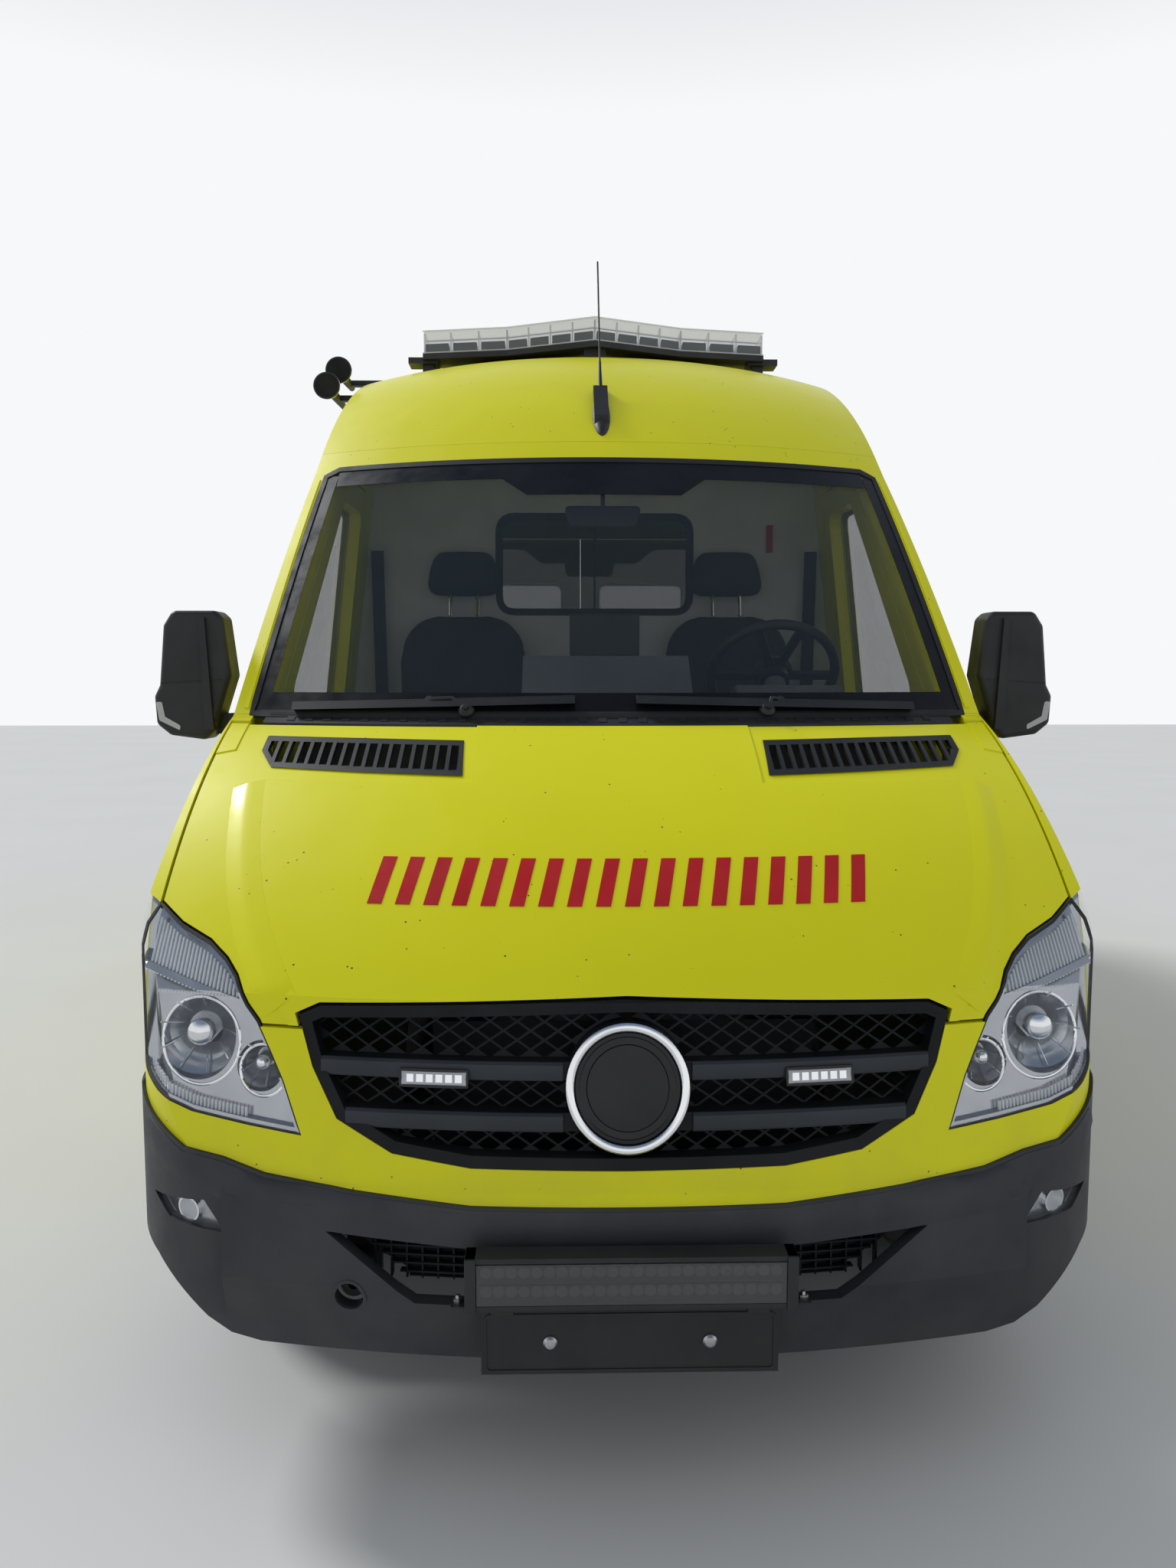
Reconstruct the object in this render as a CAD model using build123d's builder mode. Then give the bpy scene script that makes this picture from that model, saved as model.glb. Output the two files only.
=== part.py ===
from build123d import *
import math
import os

os.makedirs("parts", exist_ok=True)

# All sizes are in millimetres. A station is a distance behind the nose, X is to the vehicle's left.

# Main sizes
BODY_LENGTH = 5910
BODY_REAR = 5830
LAMP_BAR_PROUD = 75
WHEELBASE = 3665
FRONT_AXLE = 1004
WHEEL_X = 855
KINGPIN_X = 795
FRONT_Y = -(BODY_LENGTH - LAMP_BAR_PROUD) / 2
REAR_AXLE = FRONT_AXLE + WHEELBASE

# Skin and gaps
WALL = 60
PANEL = 22
BONNET_THICKNESS = 28
BUMPER_PROUD = 8
BUMPER_THICKNESS = 24
GLASS = 6
GLASS_SET_IN = 2
PANE = 5
PANE_SET_IN = 16
SEAM = 0.5
SHUT_GAP = 6
DOOR_GAP = 7
RUNNING_FIT = 0.05

# Nose and roof on the centre line as (station, height), swept round a far upright axis
SWEEP_STATION = 3300
LOWER_NOSE = ((45, 250), (35, 290), (0, 420), (4, 570), (24, 600), (105, 935))
BONNET_MID = (415, 1238)
SCREEN_FOOT = (780, 1444)
SCREEN_MID = (1088, 1814)
SCREEN_HEAD = (1420, 2162)
ROOF_MID = (2031, 2602)
ROOF_LEVEL = (2743, 2751)
NOSE_CORNER_RADIUS = 300

# Body section as (half width, height)
BODY_SIDE = ((950, 200), (975, 420), (993, 750), (990, 1100), (964, 1450), (878, 2200), (848, 2560))
ROOF_EDGE_MID = (812, 2662)
ROOF_EDGE_TOP = (715, 2715)
ROOF_CROWN = 2790
HALF_WIDTH = 993

# Nose panels in front view as (X, height), right half
BUMPER_TOP = ((0, 580), (290, 580), (515, 596), (683, 614), (767, 636), (847, 647), (933, 688), (985, 718), (1020, 722))
BUMPER_FOOT = ((1020, 440), (925, 406), (760, 288), (700, 276), (0, 264))
GRILLE_OUTLINE = ((0, 940), (585, 919), (627, 900), (597, 808), (547, 717), (440, 661), (292, 640), (0, 638))
GRILLE_FRAME = 22
SLAT_HEIGHTS = (722, 812)
SLAT_HALF_HEIGHT = 16
MESH_PITCH = (52, 34)
MESH_OPEN = 0.86
BADGE_Z = 783
BADGE_RADIUS = 117
BADGE_RING = 17
STROBE_X = (299, 425)
STROBE_Z = (783, 811)
LAMP_INNER = ((615, 684), (653, 779), (681, 833), (709, 884))
LAMP_UPPER = ((733, 912), (762, 960), (788, 986), (831, 1014), (901, 1040), (966, 1078), (1020, 1104))
LAMP_LOWER = ((1020, 800), (960, 758), (917, 736), (837, 711), (723, 696))
LAMP_REAR = ((310, 766), (430, 1110))
LAMP_DIVIDER = ((1020, 978), (1020, 990), (700, 908), (700, 896))
MAIN_BOWL = (841, 841, 82, 232)
SMALL_BOWL = (707, 795, 48, 186)
BONNET_FRONT_Z = 880
DOME_OUTLINE = ((640, 870), (695, 950), (755, 1040), (800, 1142), (822, 1215), (800, 1308), (325, 1308), (325, 1520))
DOME_PROUD = 3
VENT_OUTLINE = ((345, 1323), (573, 1328), (800, 1335), (838, 1368), (838, 1399), (595, 1397), (352, 1394))
VENT_FRAME = 10
VENT_SLATS = 16
SLAT_THICKNESS = 9
BONNET_SIDE_X = 955
BONNET_REAR = 738
BONNET_CORNER_X = 908
BONNET_CORNER_THICKNESS = 8
BONNET_CORNER_GAP = 14
COWL_REAR_Z = 1448
INTAKE_OUTLINE = ((560, 525), (395, 395))
FOG_OUTLINE = ((931, 532), (806, 552), (763, 493), (887, 496))
FOG_CENTRE = (847, 520)
FOG_RADIUS = 21
SCREEN_OUTLINE = ((914, 1450), (842, 2150), (800, 2172))
SCREEN_FLANGE = 35
PANEL_SPLIT = 300
ROOF_SPLIT_FRONT = 2237
ROOF_SPLIT = 2400
SILL_FOOT = 400

# Front doors in side view as (station, height)
DOOR_OUTLINE = ((1460, 480), (1440, 600), (1300, 850), (1125, 1060), (1120, 1400), (1190, 1450), (1760, 2150),
                (1830, 2190), (2180, 2190), (2210, 2150), (2210, 480))
DOOR_WINDOW = ((1310, 1460), (1835, 2110), (2140, 2110), (2140, 1440))
DOOR_WINDOW_RADIUS = 45
WINDOW_RADIUS = 60
SIDE_WINDOW = ((2600, 1450), (3560, 1450), (3560, 2150), (2600, 2150))
REAR_WINDOW = ((120, 1450), (690, 1450), (690, 2150), (120, 2150))
BULKHEAD_WINDOW = ((-355, 1780), (355, 1780), (355, 2130), (-355, 2130))
DOOR_HINGE_X = 924
DOOR_HINGE_STATION = 1052
DOOR_HINGE_HEIGHTS = (1090, 1330)
HINGE_LENGTH = 30
HINGE_PIN_RADIUS = 6
HINGE_EYE_RADIUS = 14
DOOR_SWING_RADIUS = 98
DOOR_SWING_CLEARANCE = 4
PILLAR_SPLIT = 2217

# Mirrors in front view as (X, height), right half
MIRROR_HEAD = ((1012, 1545), (1030, 1700), (1050, 1719), (1165, 1719), (1190, 1680), (1205, 1520), (1220, 1490),
               (1216, 1415), (1180, 1385), (1085, 1372), (1062, 1395))
MIRROR_RIDGE = ((1058, 1400), (1075, 1700), (1090, 1700), (1083, 1400))
MIRROR_ARM = ((900, 1400), (1080, 1385), (1080, 1440), (900, 1450))
MIRROR_FRONT = 1120
MIRROR_DEPTH = 90

# Load space doors
SLIDING_DOOR_FRONT = 2456
SLIDING_DOOR_REAR = 3744
SLIDING_DOOR_FOOT = 526
SLIDING_DOOR_HEAD = 2374
REAR_DOOR_HALF_WIDTH = 800
REAR_DOOR_FOOT = 620
REAR_DOOR_HEAD = 2440
REAR_DOOR_CENTRE_GAP = 3
REAR_HINGE_X = 814
REAR_HINGE_PROUD = 15
REAR_HINGE_HEIGHTS = (820, 1500, 2200)

# Floor, frame and running gear
FLOOR_TOP = 680
FLOOR_THICKNESS = 50
RAIL_TOP = 560
RAIL_DEPTH = 140
RAIL_INNER_X = 400
RAIL_OUTER_X = 480
ARCH_RADIUS = 430
ARCH_HEIGHT = 380
WHEELHOUSE_WALL = 6
WHEELHOUSE_INNER_X = 500
REAR_WHEELHOUSE_INNER_X = 640
FIREWALL = 1100
BULKHEAD = 2337
BULKHEAD_THICKNESS = 25

# Wheels
TYRE_RADIUS = 356
TYRE_WIDTH = 235
RIM_RADIUS = 203
STUB_RADIUS = 30
RIM_HOLE_CIRCLE = 152
RIM_HOLE_COUNT = 12
RIM_HOLE_RADIUS = 17

# Towing eye socket and number plate holes
TOW_X = -517
TOW_Z = 402
TOW_RADIUS = 11
TOW_DEPTH = 60
TOW_FACE = 80
PLATE_HOLE_SPACING = 290
PLATE_HOLE_RADIUS = 3
PLATE_HOLE_Z = 345
PLATE_FOOT = 285
PLATE_TOP = 406
PLATE_PROUD = 26

# Bonnet hinge
BONNET_HINGE_X = 890
BONNET_HINGE_STATION = 985
BONNET_HINGE_Z = 1400
COWL_HALF_WIDTH = 872

# Roof light bar in plan as (X, station), right half
BAR_FRONT = ((0, 2290), (325, 2425), (645, 2480))
BAR_DEPTH = 140
BAR_FOOT = 2732
BAR_BASE = 20
BAR_TOP = 2838

# Aerial and horns
AERIAL_TIP = (2000, 2925)
HORNS = ((-973, 2300, 2590, 330), (-940, 2360, 2660, 270))

# Steering wheel and dashboard
DASH_HALF_WIDTH = 825
WHEEL_CENTRE = (510, 1450, 1550)
STEERING_TILT = 40
STEERING_WHEEL_RADIUS = 200
COLUMN_RADIUS = 12


def y_of(station):
    return FRONT_Y + station


def radius_of(station):
    return SWEEP_STATION - station


# Skin


def nose_profile(inset):
    at = [(radius_of(s), z) for s, z in LOWER_NOSE]
    mid = [(radius_of(s), z) for s, z in (BONNET_MID, SCREEN_FOOT, SCREEN_MID, SCREEN_HEAD, ROOF_MID, ROOF_LEVEL)]
    with BuildSketch(Plane((0, y_of(SWEEP_STATION), 0), x_dir=(-1, 0, 0), z_dir=(0, 1, 0))) as profile:
        with BuildLine():
            Polyline((0, LOWER_NOSE[0][1]), *at)
            ThreePointArc(at[-1], mid[0], mid[1])
            ThreePointArc(mid[1], mid[2], mid[3])
            ThreePointArc(mid[3], mid[4], mid[5])
            Line(mid[5], (0, ROOF_LEVEL[1]))
            mirror(about=Plane.YZ)
        make_face()
        if inset:
            offset(amount=-inset, kind=Kind.INTERSECTION)
    return profile.sketch


def nose_body(inset):
    whole = nose_profile(inset)
    half = split(whole, bisect_by=Plane((0, 0, 0), x_dir=(0, 1, 0), z_dir=(-1, 0, 0)))
    with BuildPart() as body:
        extrude(whole, amount=BODY_REAR - inset - SWEEP_STATION)
        revolve(half, axis=Axis((0, y_of(SWEEP_STATION), 0), (0, 0, 1)), revolution_arc=180)
    return body.part


def body_section(inset):
    with BuildSketch(Plane.XZ) as section:
        with BuildLine():
            Polyline((0, BODY_SIDE[0][1]), *BODY_SIDE)
            ThreePointArc(BODY_SIDE[-1], ROOF_EDGE_MID, ROOF_EDGE_TOP)
            Line(ROOF_EDGE_TOP, (0, ROOF_CROWN))
            mirror(about=Plane.YZ)
        make_face()
        if inset:
            offset(amount=-inset, kind=Kind.INTERSECTION)
    return section.sketch


def nose_plan(inset):
    side = HALF_WIDTH - inset
    round_radius = NOSE_CORNER_RADIUS - inset
    sweep_radius = SWEEP_STATION - LOWER_NOSE[4][0] - inset
    centre_x = side - round_radius
    reach = math.sqrt((sweep_radius - round_radius) ** 2 - centre_x**2)
    centre_y = y_of(SWEEP_STATION) - reach
    turn = math.atan2(-reach, centre_x)
    meet = (centre_x + round_radius * math.cos(turn), centre_y + round_radius * math.sin(turn))
    middle = (centre_x + round_radius * math.cos(turn / 2), centre_y + round_radius * math.sin(turn / 2))
    rear_y = y_of(BODY_REAR + WALL)
    front_y = y_of(-BODY_REAR / 10)
    with BuildSketch() as plan:
        with BuildLine():
            Polyline((0, rear_y), (side, rear_y), (side, centre_y))
            ThreePointArc((side, centre_y), middle, meet)
            Polyline(meet, (meet[0], front_y), (0, front_y), (0, rear_y))
        make_face()
        mirror(about=Plane.YZ)
    return plan.sketch


def envelope(inset):
    core = nose_body(inset)
    section = body_section(inset)
    plan = nose_plan(inset)
    with BuildPart() as skin:
        add(core)
        extrude(section, amount=BODY_LENGTH, both=True, mode=Mode.INTERSECT)
        extrude(plan, amount=ROOF_CROWN + BODY_LENGTH, mode=Mode.INTERSECT)
    return skin.part


def lower_body(inset):
    """The skin's lower part alone, up to the front edge of the bonnet, for what stands proud of it."""
    top = LOWER_NOSE[-1][1]
    with BuildSketch(Plane((0, y_of(SWEEP_STATION), 0), x_dir=(-1, 0, 0), z_dir=(0, 1, 0))) as profile:
        with BuildLine():
            Polyline((0, LOWER_NOSE[0][1]), *[(radius_of(s), z) for s, z in LOWER_NOSE], (0, top))
            mirror(about=Plane.YZ)
        make_face()
        offset(amount=-inset, kind=Kind.INTERSECTION)
    half = split(profile.sketch, bisect_by=Plane((0, 0, 0), x_dir=(0, 1, 0), z_dir=(-1, 0, 0)))
    section = body_section(inset)
    plan = nose_plan(inset)
    with BuildPart() as skin:
        revolve(half, axis=Axis((0, y_of(SWEEP_STATION), 0), (0, 0, 1)), revolution_arc=180)
        extrude(section, amount=BODY_LENGTH, both=True, mode=Mode.INTERSECT)
        extrude(plan, amount=ROOF_CROWN, mode=Mode.INTERSECT)
    return skin.part


# Blocks drawn in the three views


def side_block(outline, x_from, x_to, grow=0, radius=0):
    with BuildPart() as block:
        with BuildSketch(Plane.YZ.offset(x_from)) as view:
            with BuildLine():
                Polyline(*[(y_of(s), z) for s, z in outline], close=True)
            make_face()
            if radius:
                fillet(view.vertices(), radius)
            if grow:
                offset(amount=grow, kind=Kind.INTERSECTION)
        extrude(amount=x_to - x_from)
    return block.part


def front_block(outline, s_from, s_to, grow=0, radius=0):
    with BuildPart() as block:
        with BuildSketch(Plane((0, y_of(s_to), 0), x_dir=(1, 0, 0), z_dir=(0, -1, 0))) as view:
            with BuildLine():
                Polyline(*outline, close=True)
            make_face()
            if radius:
                fillet(view.vertices(), radius)
            if grow:
                offset(amount=grow, kind=Kind.INTERSECTION)
        extrude(amount=s_to - s_from)
    return block.part


def plan_block(outline, z_from, z_to):
    with BuildPart() as block:
        with BuildSketch(Plane.XY.offset(z_from)):
            with BuildLine():
                Polyline(*[(x, y_of(s)) for x, s in outline], close=True)
            make_face()
        extrude(amount=z_to - z_from)
    return block.part


def box(x_from, x_to, s_from, s_to, z_from, z_to):
    return plan_block(((x_from, s_from), (x_to, s_from), (x_to, s_to), (x_from, s_to)), z_from, z_to)


def rod(radius, start, end):
    a = Vector(start[0], y_of(start[1]), start[2])
    b = Vector(end[0], y_of(end[1]), end[2])
    with BuildPart() as shape:
        with BuildSketch(Plane(a, z_dir=b - a)):
            Circle(radius)
        extrude(amount=(b - a).length)
    return shape.part


def mirrored(half_outline):
    return list(half_outline) + [(-x, z) for x, z in reversed(half_outline)]


def on_both_sides(shape):
    return [shape, mirror(shape, about=Plane.YZ)]


def piece(name, blank, keep=(), cuts=(), extras=()):
    with BuildPart() as shape:
        add(blank)
        for block in keep:
            add(block, mode=Mode.INTERSECT)
        for block in cuts:
            add(block, mode=Mode.SUBTRACT)
        for block in extras:
            add(block)
    shape.part.label = name
    return shape.part


def hand_in(shape):
    export_step(shape, "parts/" + shape.label + ".step")
    print(shape.label, len(shape.solids()), "solids", round(shape.volume / 1e6, 2), "litres", shape.is_valid)


SKIN = envelope(0)
INNER = envelope(WALL)
BODY_WALL = SKIN - INNER
PANEL_WALL = SKIN - envelope(PANEL)
BUMPER_WALL = lower_body(-BUMPER_PROUD) - lower_body(BUMPER_THICKNESS)
BONNET_WALL = nose_body(0) - nose_body(BONNET_THICKNESS)
BONNET_LIP = nose_body(0) - nose_body(BONNET_CORNER_THICKNESS)
PANE_WALL = envelope(PANE_SET_IN) - envelope(PANE_SET_IN + PANE)


# Nose


def lamp_block(grow=0):
    outline = LAMP_INNER + LAMP_UPPER + LAMP_LOWER
    low, high = LAMP_REAR
    side = ((-60, 600), (low[0], 600), low, high, (high[0], 1200), (-60, 1200))
    front = front_block(outline, -60, 600, grow)
    return front & side_block(side, 0, 1200, grow)


LAMPS = on_both_sides(lamp_block())
LAMP_SEATS = on_both_sides(lamp_block(SEAM))
LAMP_CLEARANCES = on_both_sides(lamp_block(SHUT_GAP))
LENS_THICKNESS = 5


def lamp_bowl(x, z, mouth, depth_station):
    """Reflector bowl that opens forward from its foot at the given station."""
    foot = depth_station + 48
    with BuildPart() as bowl:
        with BuildSketch(Plane((x, y_of(0), z), x_dir=(1, 0, 0), z_dir=(0, 0, 1))):
            with BuildLine():
                Polyline((0, 0), (mouth, 0), (mouth, depth_station), (mouth * 0.78, depth_station + 22),
                         (mouth * 0.4, foot), (0, foot), close=True)
            make_face()
        revolve(axis=Axis((x, y_of(0), z), (0, 1, 0)))
    return bowl.part


def headlamps():
    """Housings with a sunk face, a divider under the indicator, two bowls each and their bulb shields."""
    wall = envelope(1 + LENS_THICKNESS + SEAM) - envelope(90)
    face = envelope(0) - envelope(26)
    divider = front_block(LAMP_DIVIDER, -60, 600)
    with BuildPart() as shape:
        add(wall)
        add(LAMPS[0], mode=Mode.INTERSECT)
        add((face & lamp_block(-9)) - divider, mode=Mode.SUBTRACT)
        for x, z, mouth, station in (MAIN_BOWL, SMALL_BOWL):
            add(lamp_bowl(x, z, mouth, station), mode=Mode.SUBTRACT)
            add(rod(mouth * 0.3, (x, station + 10, z), (x, station + 60, z)))
    return piece("headlamps", shape.part, extras=[mirror(shape.part, about=Plane.YZ)])


def headlamp_lenses():
    lens = (envelope(1) - envelope(1 + LENS_THICKNESS)) & LAMPS[0]
    return piece("headlamp_lenses", lens, extras=[mirror(lens, about=Plane.YZ)])


def grille_outline():
    right = list(GRILLE_OUTLINE)
    left = [(-x, z) for x, z in reversed(right[1:-1])]
    return right + left


def grille_block(grow=0):
    return front_block(grille_outline(), -60, 400, grow)


def bonnet_outline(grow=0):
    return (
        (-BONNET_SIDE_X - grow, BONNET_FRONT_Z - grow),
        (BONNET_SIDE_X + grow, BONNET_FRONT_Z - grow),
        (BONNET_SIDE_X + grow, 1500),
        (-BONNET_SIDE_X - grow, 1500),
    )


def sweep_drum(station):
    with BuildPart() as drum:
        with Locations((0, y_of(SWEEP_STATION), 1000)):
            Cylinder(radius_of(station), 1400)
    return drum.part


def bonnet_arm(side):
    """Goose-neck that reaches from the bonnet's underside round the foot of the windscreen to its pin."""
    s, z = BONNET_HINGE_STATION, BONNET_HINGE_Z
    path = ((s + 12, z - 8), (s + 8, z + 10), (s - 8, z + 10), (s - 60, z - 36), (s - 100, z - 5), (s - 100, z + 60),
            (s - 135, z + 60), (s - 135, z - 30), (s - 66, z - 66), (s - 52, z - 64))
    x_from = side * BONNET_HINGE_X - 8
    return side_block(path, x_from, x_from + 16)


def bonnet():
    front = front_block(bonnet_outline(), -60, 1100)
    under = nose_body(BONNET_THICKNESS - 2)
    dome = front_block(mirrored(DOME_OUTLINE), -60, 1100)
    sides = ((nose_body(0) - nose_body(DOME_PROUD)) & front) - dome
    with BuildPart() as shape:
        add(BONNET_WALL)
        add(front, mode=Mode.INTERSECT)
        add(sweep_drum(BONNET_REAR), mode=Mode.SUBTRACT)
        add(sides, mode=Mode.SUBTRACT)
        add(grille_block(SHUT_GAP), mode=Mode.SUBTRACT)
        for hole in on_both_sides(front_block(VENT_OUTLINE, 300, 1100, SEAM)):
            add(hole, mode=Mode.SUBTRACT)
        for block in LAMP_CLEARANCES:
            add(block, mode=Mode.SUBTRACT)
        for corner in on_both_sides(box(BONNET_CORNER_X, 1000, 780, 1000, 1300, 1500)):
            add(corner, mode=Mode.SUBTRACT)
            add((BONNET_LIP & corner & front) - sweep_drum(BONNET_REAR))
        for side in (-1, 1):
            add(bonnet_arm(side) & under)
            start = side * (BONNET_HINGE_X - 8)
            add(rod(HINGE_PIN_RADIUS, (start, BONNET_HINGE_STATION, BONNET_HINGE_Z),
                    (side * (BONNET_HINGE_X + 31), BONNET_HINGE_STATION, BONNET_HINGE_Z)))
    shape.part.label = "bonnet"
    return shape.part


def bonnet_vents():
    """A frame with upright slats in each of the bonnet's two air openings."""
    left_x = VENT_OUTLINE[0][0] + VENT_FRAME
    pitch = (VENT_OUTLINE[3][0] - VENT_FRAME - left_x) / (VENT_SLATS + 1)
    shell = nose_body(0) - nose_body(14)
    with BuildPart() as slots:
        for i in range(VENT_SLATS + 1):
            start = left_x + i * pitch + SLAT_THICKNESS / 2
            add(box(start, start + pitch - SLAT_THICKNESS, 300, 1100, 1300, 1420))
        add(front_block(VENT_OUTLINE, 300, 1100, -VENT_FRAME), mode=Mode.INTERSECT)
    vent = (shell & front_block(VENT_OUTLINE, 300, 1100)) - slots.part
    return piece("bonnet_vents", vent, extras=[mirror(vent, about=Plane.YZ)])


def front_panel():
    top = BONNET_FRONT_Z - SHUT_GAP
    right = [(x, z + SEAM) for x, z in BUMPER_TOP]
    left = [(-x, z) for x, z in reversed(right)]
    outline = left + right[1:] + [(1020, top), (-1020, top)]
    return piece("front_panel", PANEL_WALL, [front_block(outline, -60, PANEL_SPLIT)], LAMP_SEATS + [grille_block()])


def badge_block(radius):
    return rod(radius, (0, -60, BADGE_Z), (0, 400, BADGE_Z))


def mesh_net():
    """Diamond openings in staggered rows between the grille's slats, in front view."""
    wide, high = MESH_PITCH
    half_width = wide * MESH_OPEN / 2
    half_height = high * MESH_OPEN / 2
    middle = (GRILLE_OUTLINE[0][1] + GRILLE_OUTLINE[-1][1]) / 2
    rows = round((GRILLE_OUTLINE[0][1] - GRILLE_OUTLINE[-1][1]) / high) + 1
    columns = round(2 * GRILLE_OUTLINE[2][0] / wide) + 1
    with BuildSketch(Plane((0, y_of(300), 0), x_dir=(1, 0, 0), z_dir=(0, -1, 0))) as net:
        with BuildLine():
            Polyline(*grille_outline(), close=True)
        make_face()
        offset(amount=-GRILLE_FRAME, kind=Kind.INTERSECTION)
        for z in SLAT_HEIGHTS:
            with Locations((0, z)):
                Rectangle(4 * GRILLE_OUTLINE[2][0], 2 * SLAT_HALF_HEIGHT, mode=Mode.SUBTRACT)
        with Locations((0, BADGE_Z)):
            Circle(BADGE_RADIUS, mode=Mode.SUBTRACT)
        with Locations((0, middle), (wide / 2, middle + high / 2)):
            with GridLocations(wide, high, columns, rows):
                Polygon((-half_width, 0), (0, -half_height), (half_width, 0), (0, half_height), align=None,
                        mode=Mode.INTERSECT)
    return net.sketch


def grille():
    """Frame, two slats and the plain badge ring, with the diamond mesh as a plate behind them."""
    opening = grille_block(-SEAM)
    frame = ((envelope(2) - envelope(34)) & opening) - grille_block(-GRILLE_FRAME)
    slats = [box(-700, 700, -60, 400, z - SLAT_HALF_HEIGHT, z + SLAT_HALF_HEIGHT) for z in SLAT_HEIGHTS]
    ring = badge_block(BADGE_RADIUS) - badge_block(BADGE_RADIUS - BADGE_RING)
    with BuildPart() as shape:
        add(frame)
        for slat in slats:
            add((envelope(6) - envelope(34)) & slat & opening)
        add((lower_body(0) - lower_body(34)) & ring)
        add((lower_body(12) - lower_body(34)) & badge_block(BADGE_RADIUS))
    plate = (envelope(34 + SEAM) - envelope(38)) & opening
    smallest = MESH_PITCH[0] * MESH_PITCH[1] / 12
    holes = [extrude(face, amount=360, dir=(0, -1, 0)) for face in mesh_net().faces() if face.area > smallest]
    return piece("grille", shape.part, extras=[plate - holes])


def nose_lamps():
    """Strobe lamps on the upper slat and fog lamps in the bumper's corners."""
    (x_from, x_to), (low, high) = STROBE_X, STROBE_Z
    strobe = (lower_body(-4) - lower_body(6 - SEAM)) & box(x_from, x_to, -60, 400, low, high)
    seat = front_block(FOG_OUTLINE, -60, 300, -SEAM)
    lens = rod(FOG_RADIUS, (FOG_CENTRE[0], -60, FOG_CENTRE[1]), (FOG_CENTRE[0], 300, FOG_CENTRE[1]))
    plate = (lower_body(12) - lower_body(BUMPER_THICKNESS)) & seat
    glass = (lower_body(3) - lower_body(14)) & lens
    fog = plate + glass
    return piece("nose_lamps", strobe, extras=[mirror(strobe, about=Plane.YZ)] + on_both_sides(fog))


def bumper_outline():
    right = list(BUMPER_TOP) + list(BUMPER_FOOT)
    left = [(-x, z) for x, z in reversed(right)]
    return right[1:-1] + left[1:-1]


def arch_drum(station, x_from, x_to, radius=ARCH_RADIUS):
    return rod(radius, (x_from, station, ARCH_HEIGHT), (x_to, station, ARCH_HEIGHT))


def front_bumper():
    keep = [front_block(bumper_outline(), -60, FRONT_AXLE)]
    (wide, high), (narrow, low) = INTAKE_OUTLINE
    intake = front_block(((-wide, high), (wide, high), (narrow, low), (-narrow, low)), -60, 200)
    fog = front_block(FOG_OUTLINE, -60, 300)
    belly = box(-900, 900, 160, 900, 200, 310)
    tow = rod(30, (TOW_X, -60, TOW_Z), (TOW_X, 200, TOW_Z))
    cuts = [intake, belly, tow] + on_both_sides(fog) + on_both_sides(arch_drum(FRONT_AXLE, 700, 1100))
    return piece("front_bumper", BUMPER_WALL, keep, cuts)


def front_wings():
    outline = ((PANEL_SPLIT + SEAM, 722 + SEAM), (PANEL_SPLIT + SEAM, 1447.5), (1200, 1447.5), (1460 - SEAM, 1300),
               (1460 - SEAM, SILL_FOOT), (1300, SILL_FOOT), (1004, 722 + SEAM))
    door = side_block(DOOR_OUTLINE, 0, 1100, DOOR_GAP)
    under_bonnet = front_block(bonnet_outline(SHUT_GAP), -100, 1300) - nose_body(BONNET_THICKNESS + SHUT_GAP)
    bonnet_zone = under_bonnet - sweep_drum(BONNET_REAR + BONNET_CORNER_GAP)
    slot = box(0, BONNET_HINGE_X + 18, 600, 1300, 1300, 1500)
    keep = [side_block(outline, 0, 1100)]
    cuts = [door, bonnet_zone, slot, lamp_block(SEAM), arch_drum(FRONT_AXLE, 0, 1100)]
    wing = piece("front_wings", PANEL_WALL, keep, cuts)
    return piece("front_wings", wing, extras=[mirror(wing, about=Plane.YZ)])


def cowl():
    blank = nose_body(0) - nose_body(12)
    keep = [sweep_drum(BONNET_REAR + SHUT_GAP),
            box(-COWL_HALF_WIDTH, COWL_HALF_WIDTH, 600, 1100, 1330, COWL_REAR_Z - SEAM)]
    return piece("cowl", blank, keep)


# Cab frame and glass


def screen_outline():
    return mirrored(SCREEN_OUTLINE)


def hinge_pillar(side):
    x_from, x_to = sorted((side * (DOOR_HINGE_X - 32), side * DOOR_HINGE_X))
    return box(x_from, x_to, DOOR_HINGE_STATION - 44, DOOR_HINGE_STATION - 15, 830, COWL_REAR_Z + 4)


def hinge_eye(x, station, z, length=HINGE_LENGTH):
    outer = rod(HINGE_EYE_RADIUS, (x, station, z), (x, station, z + length))
    return outer


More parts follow.
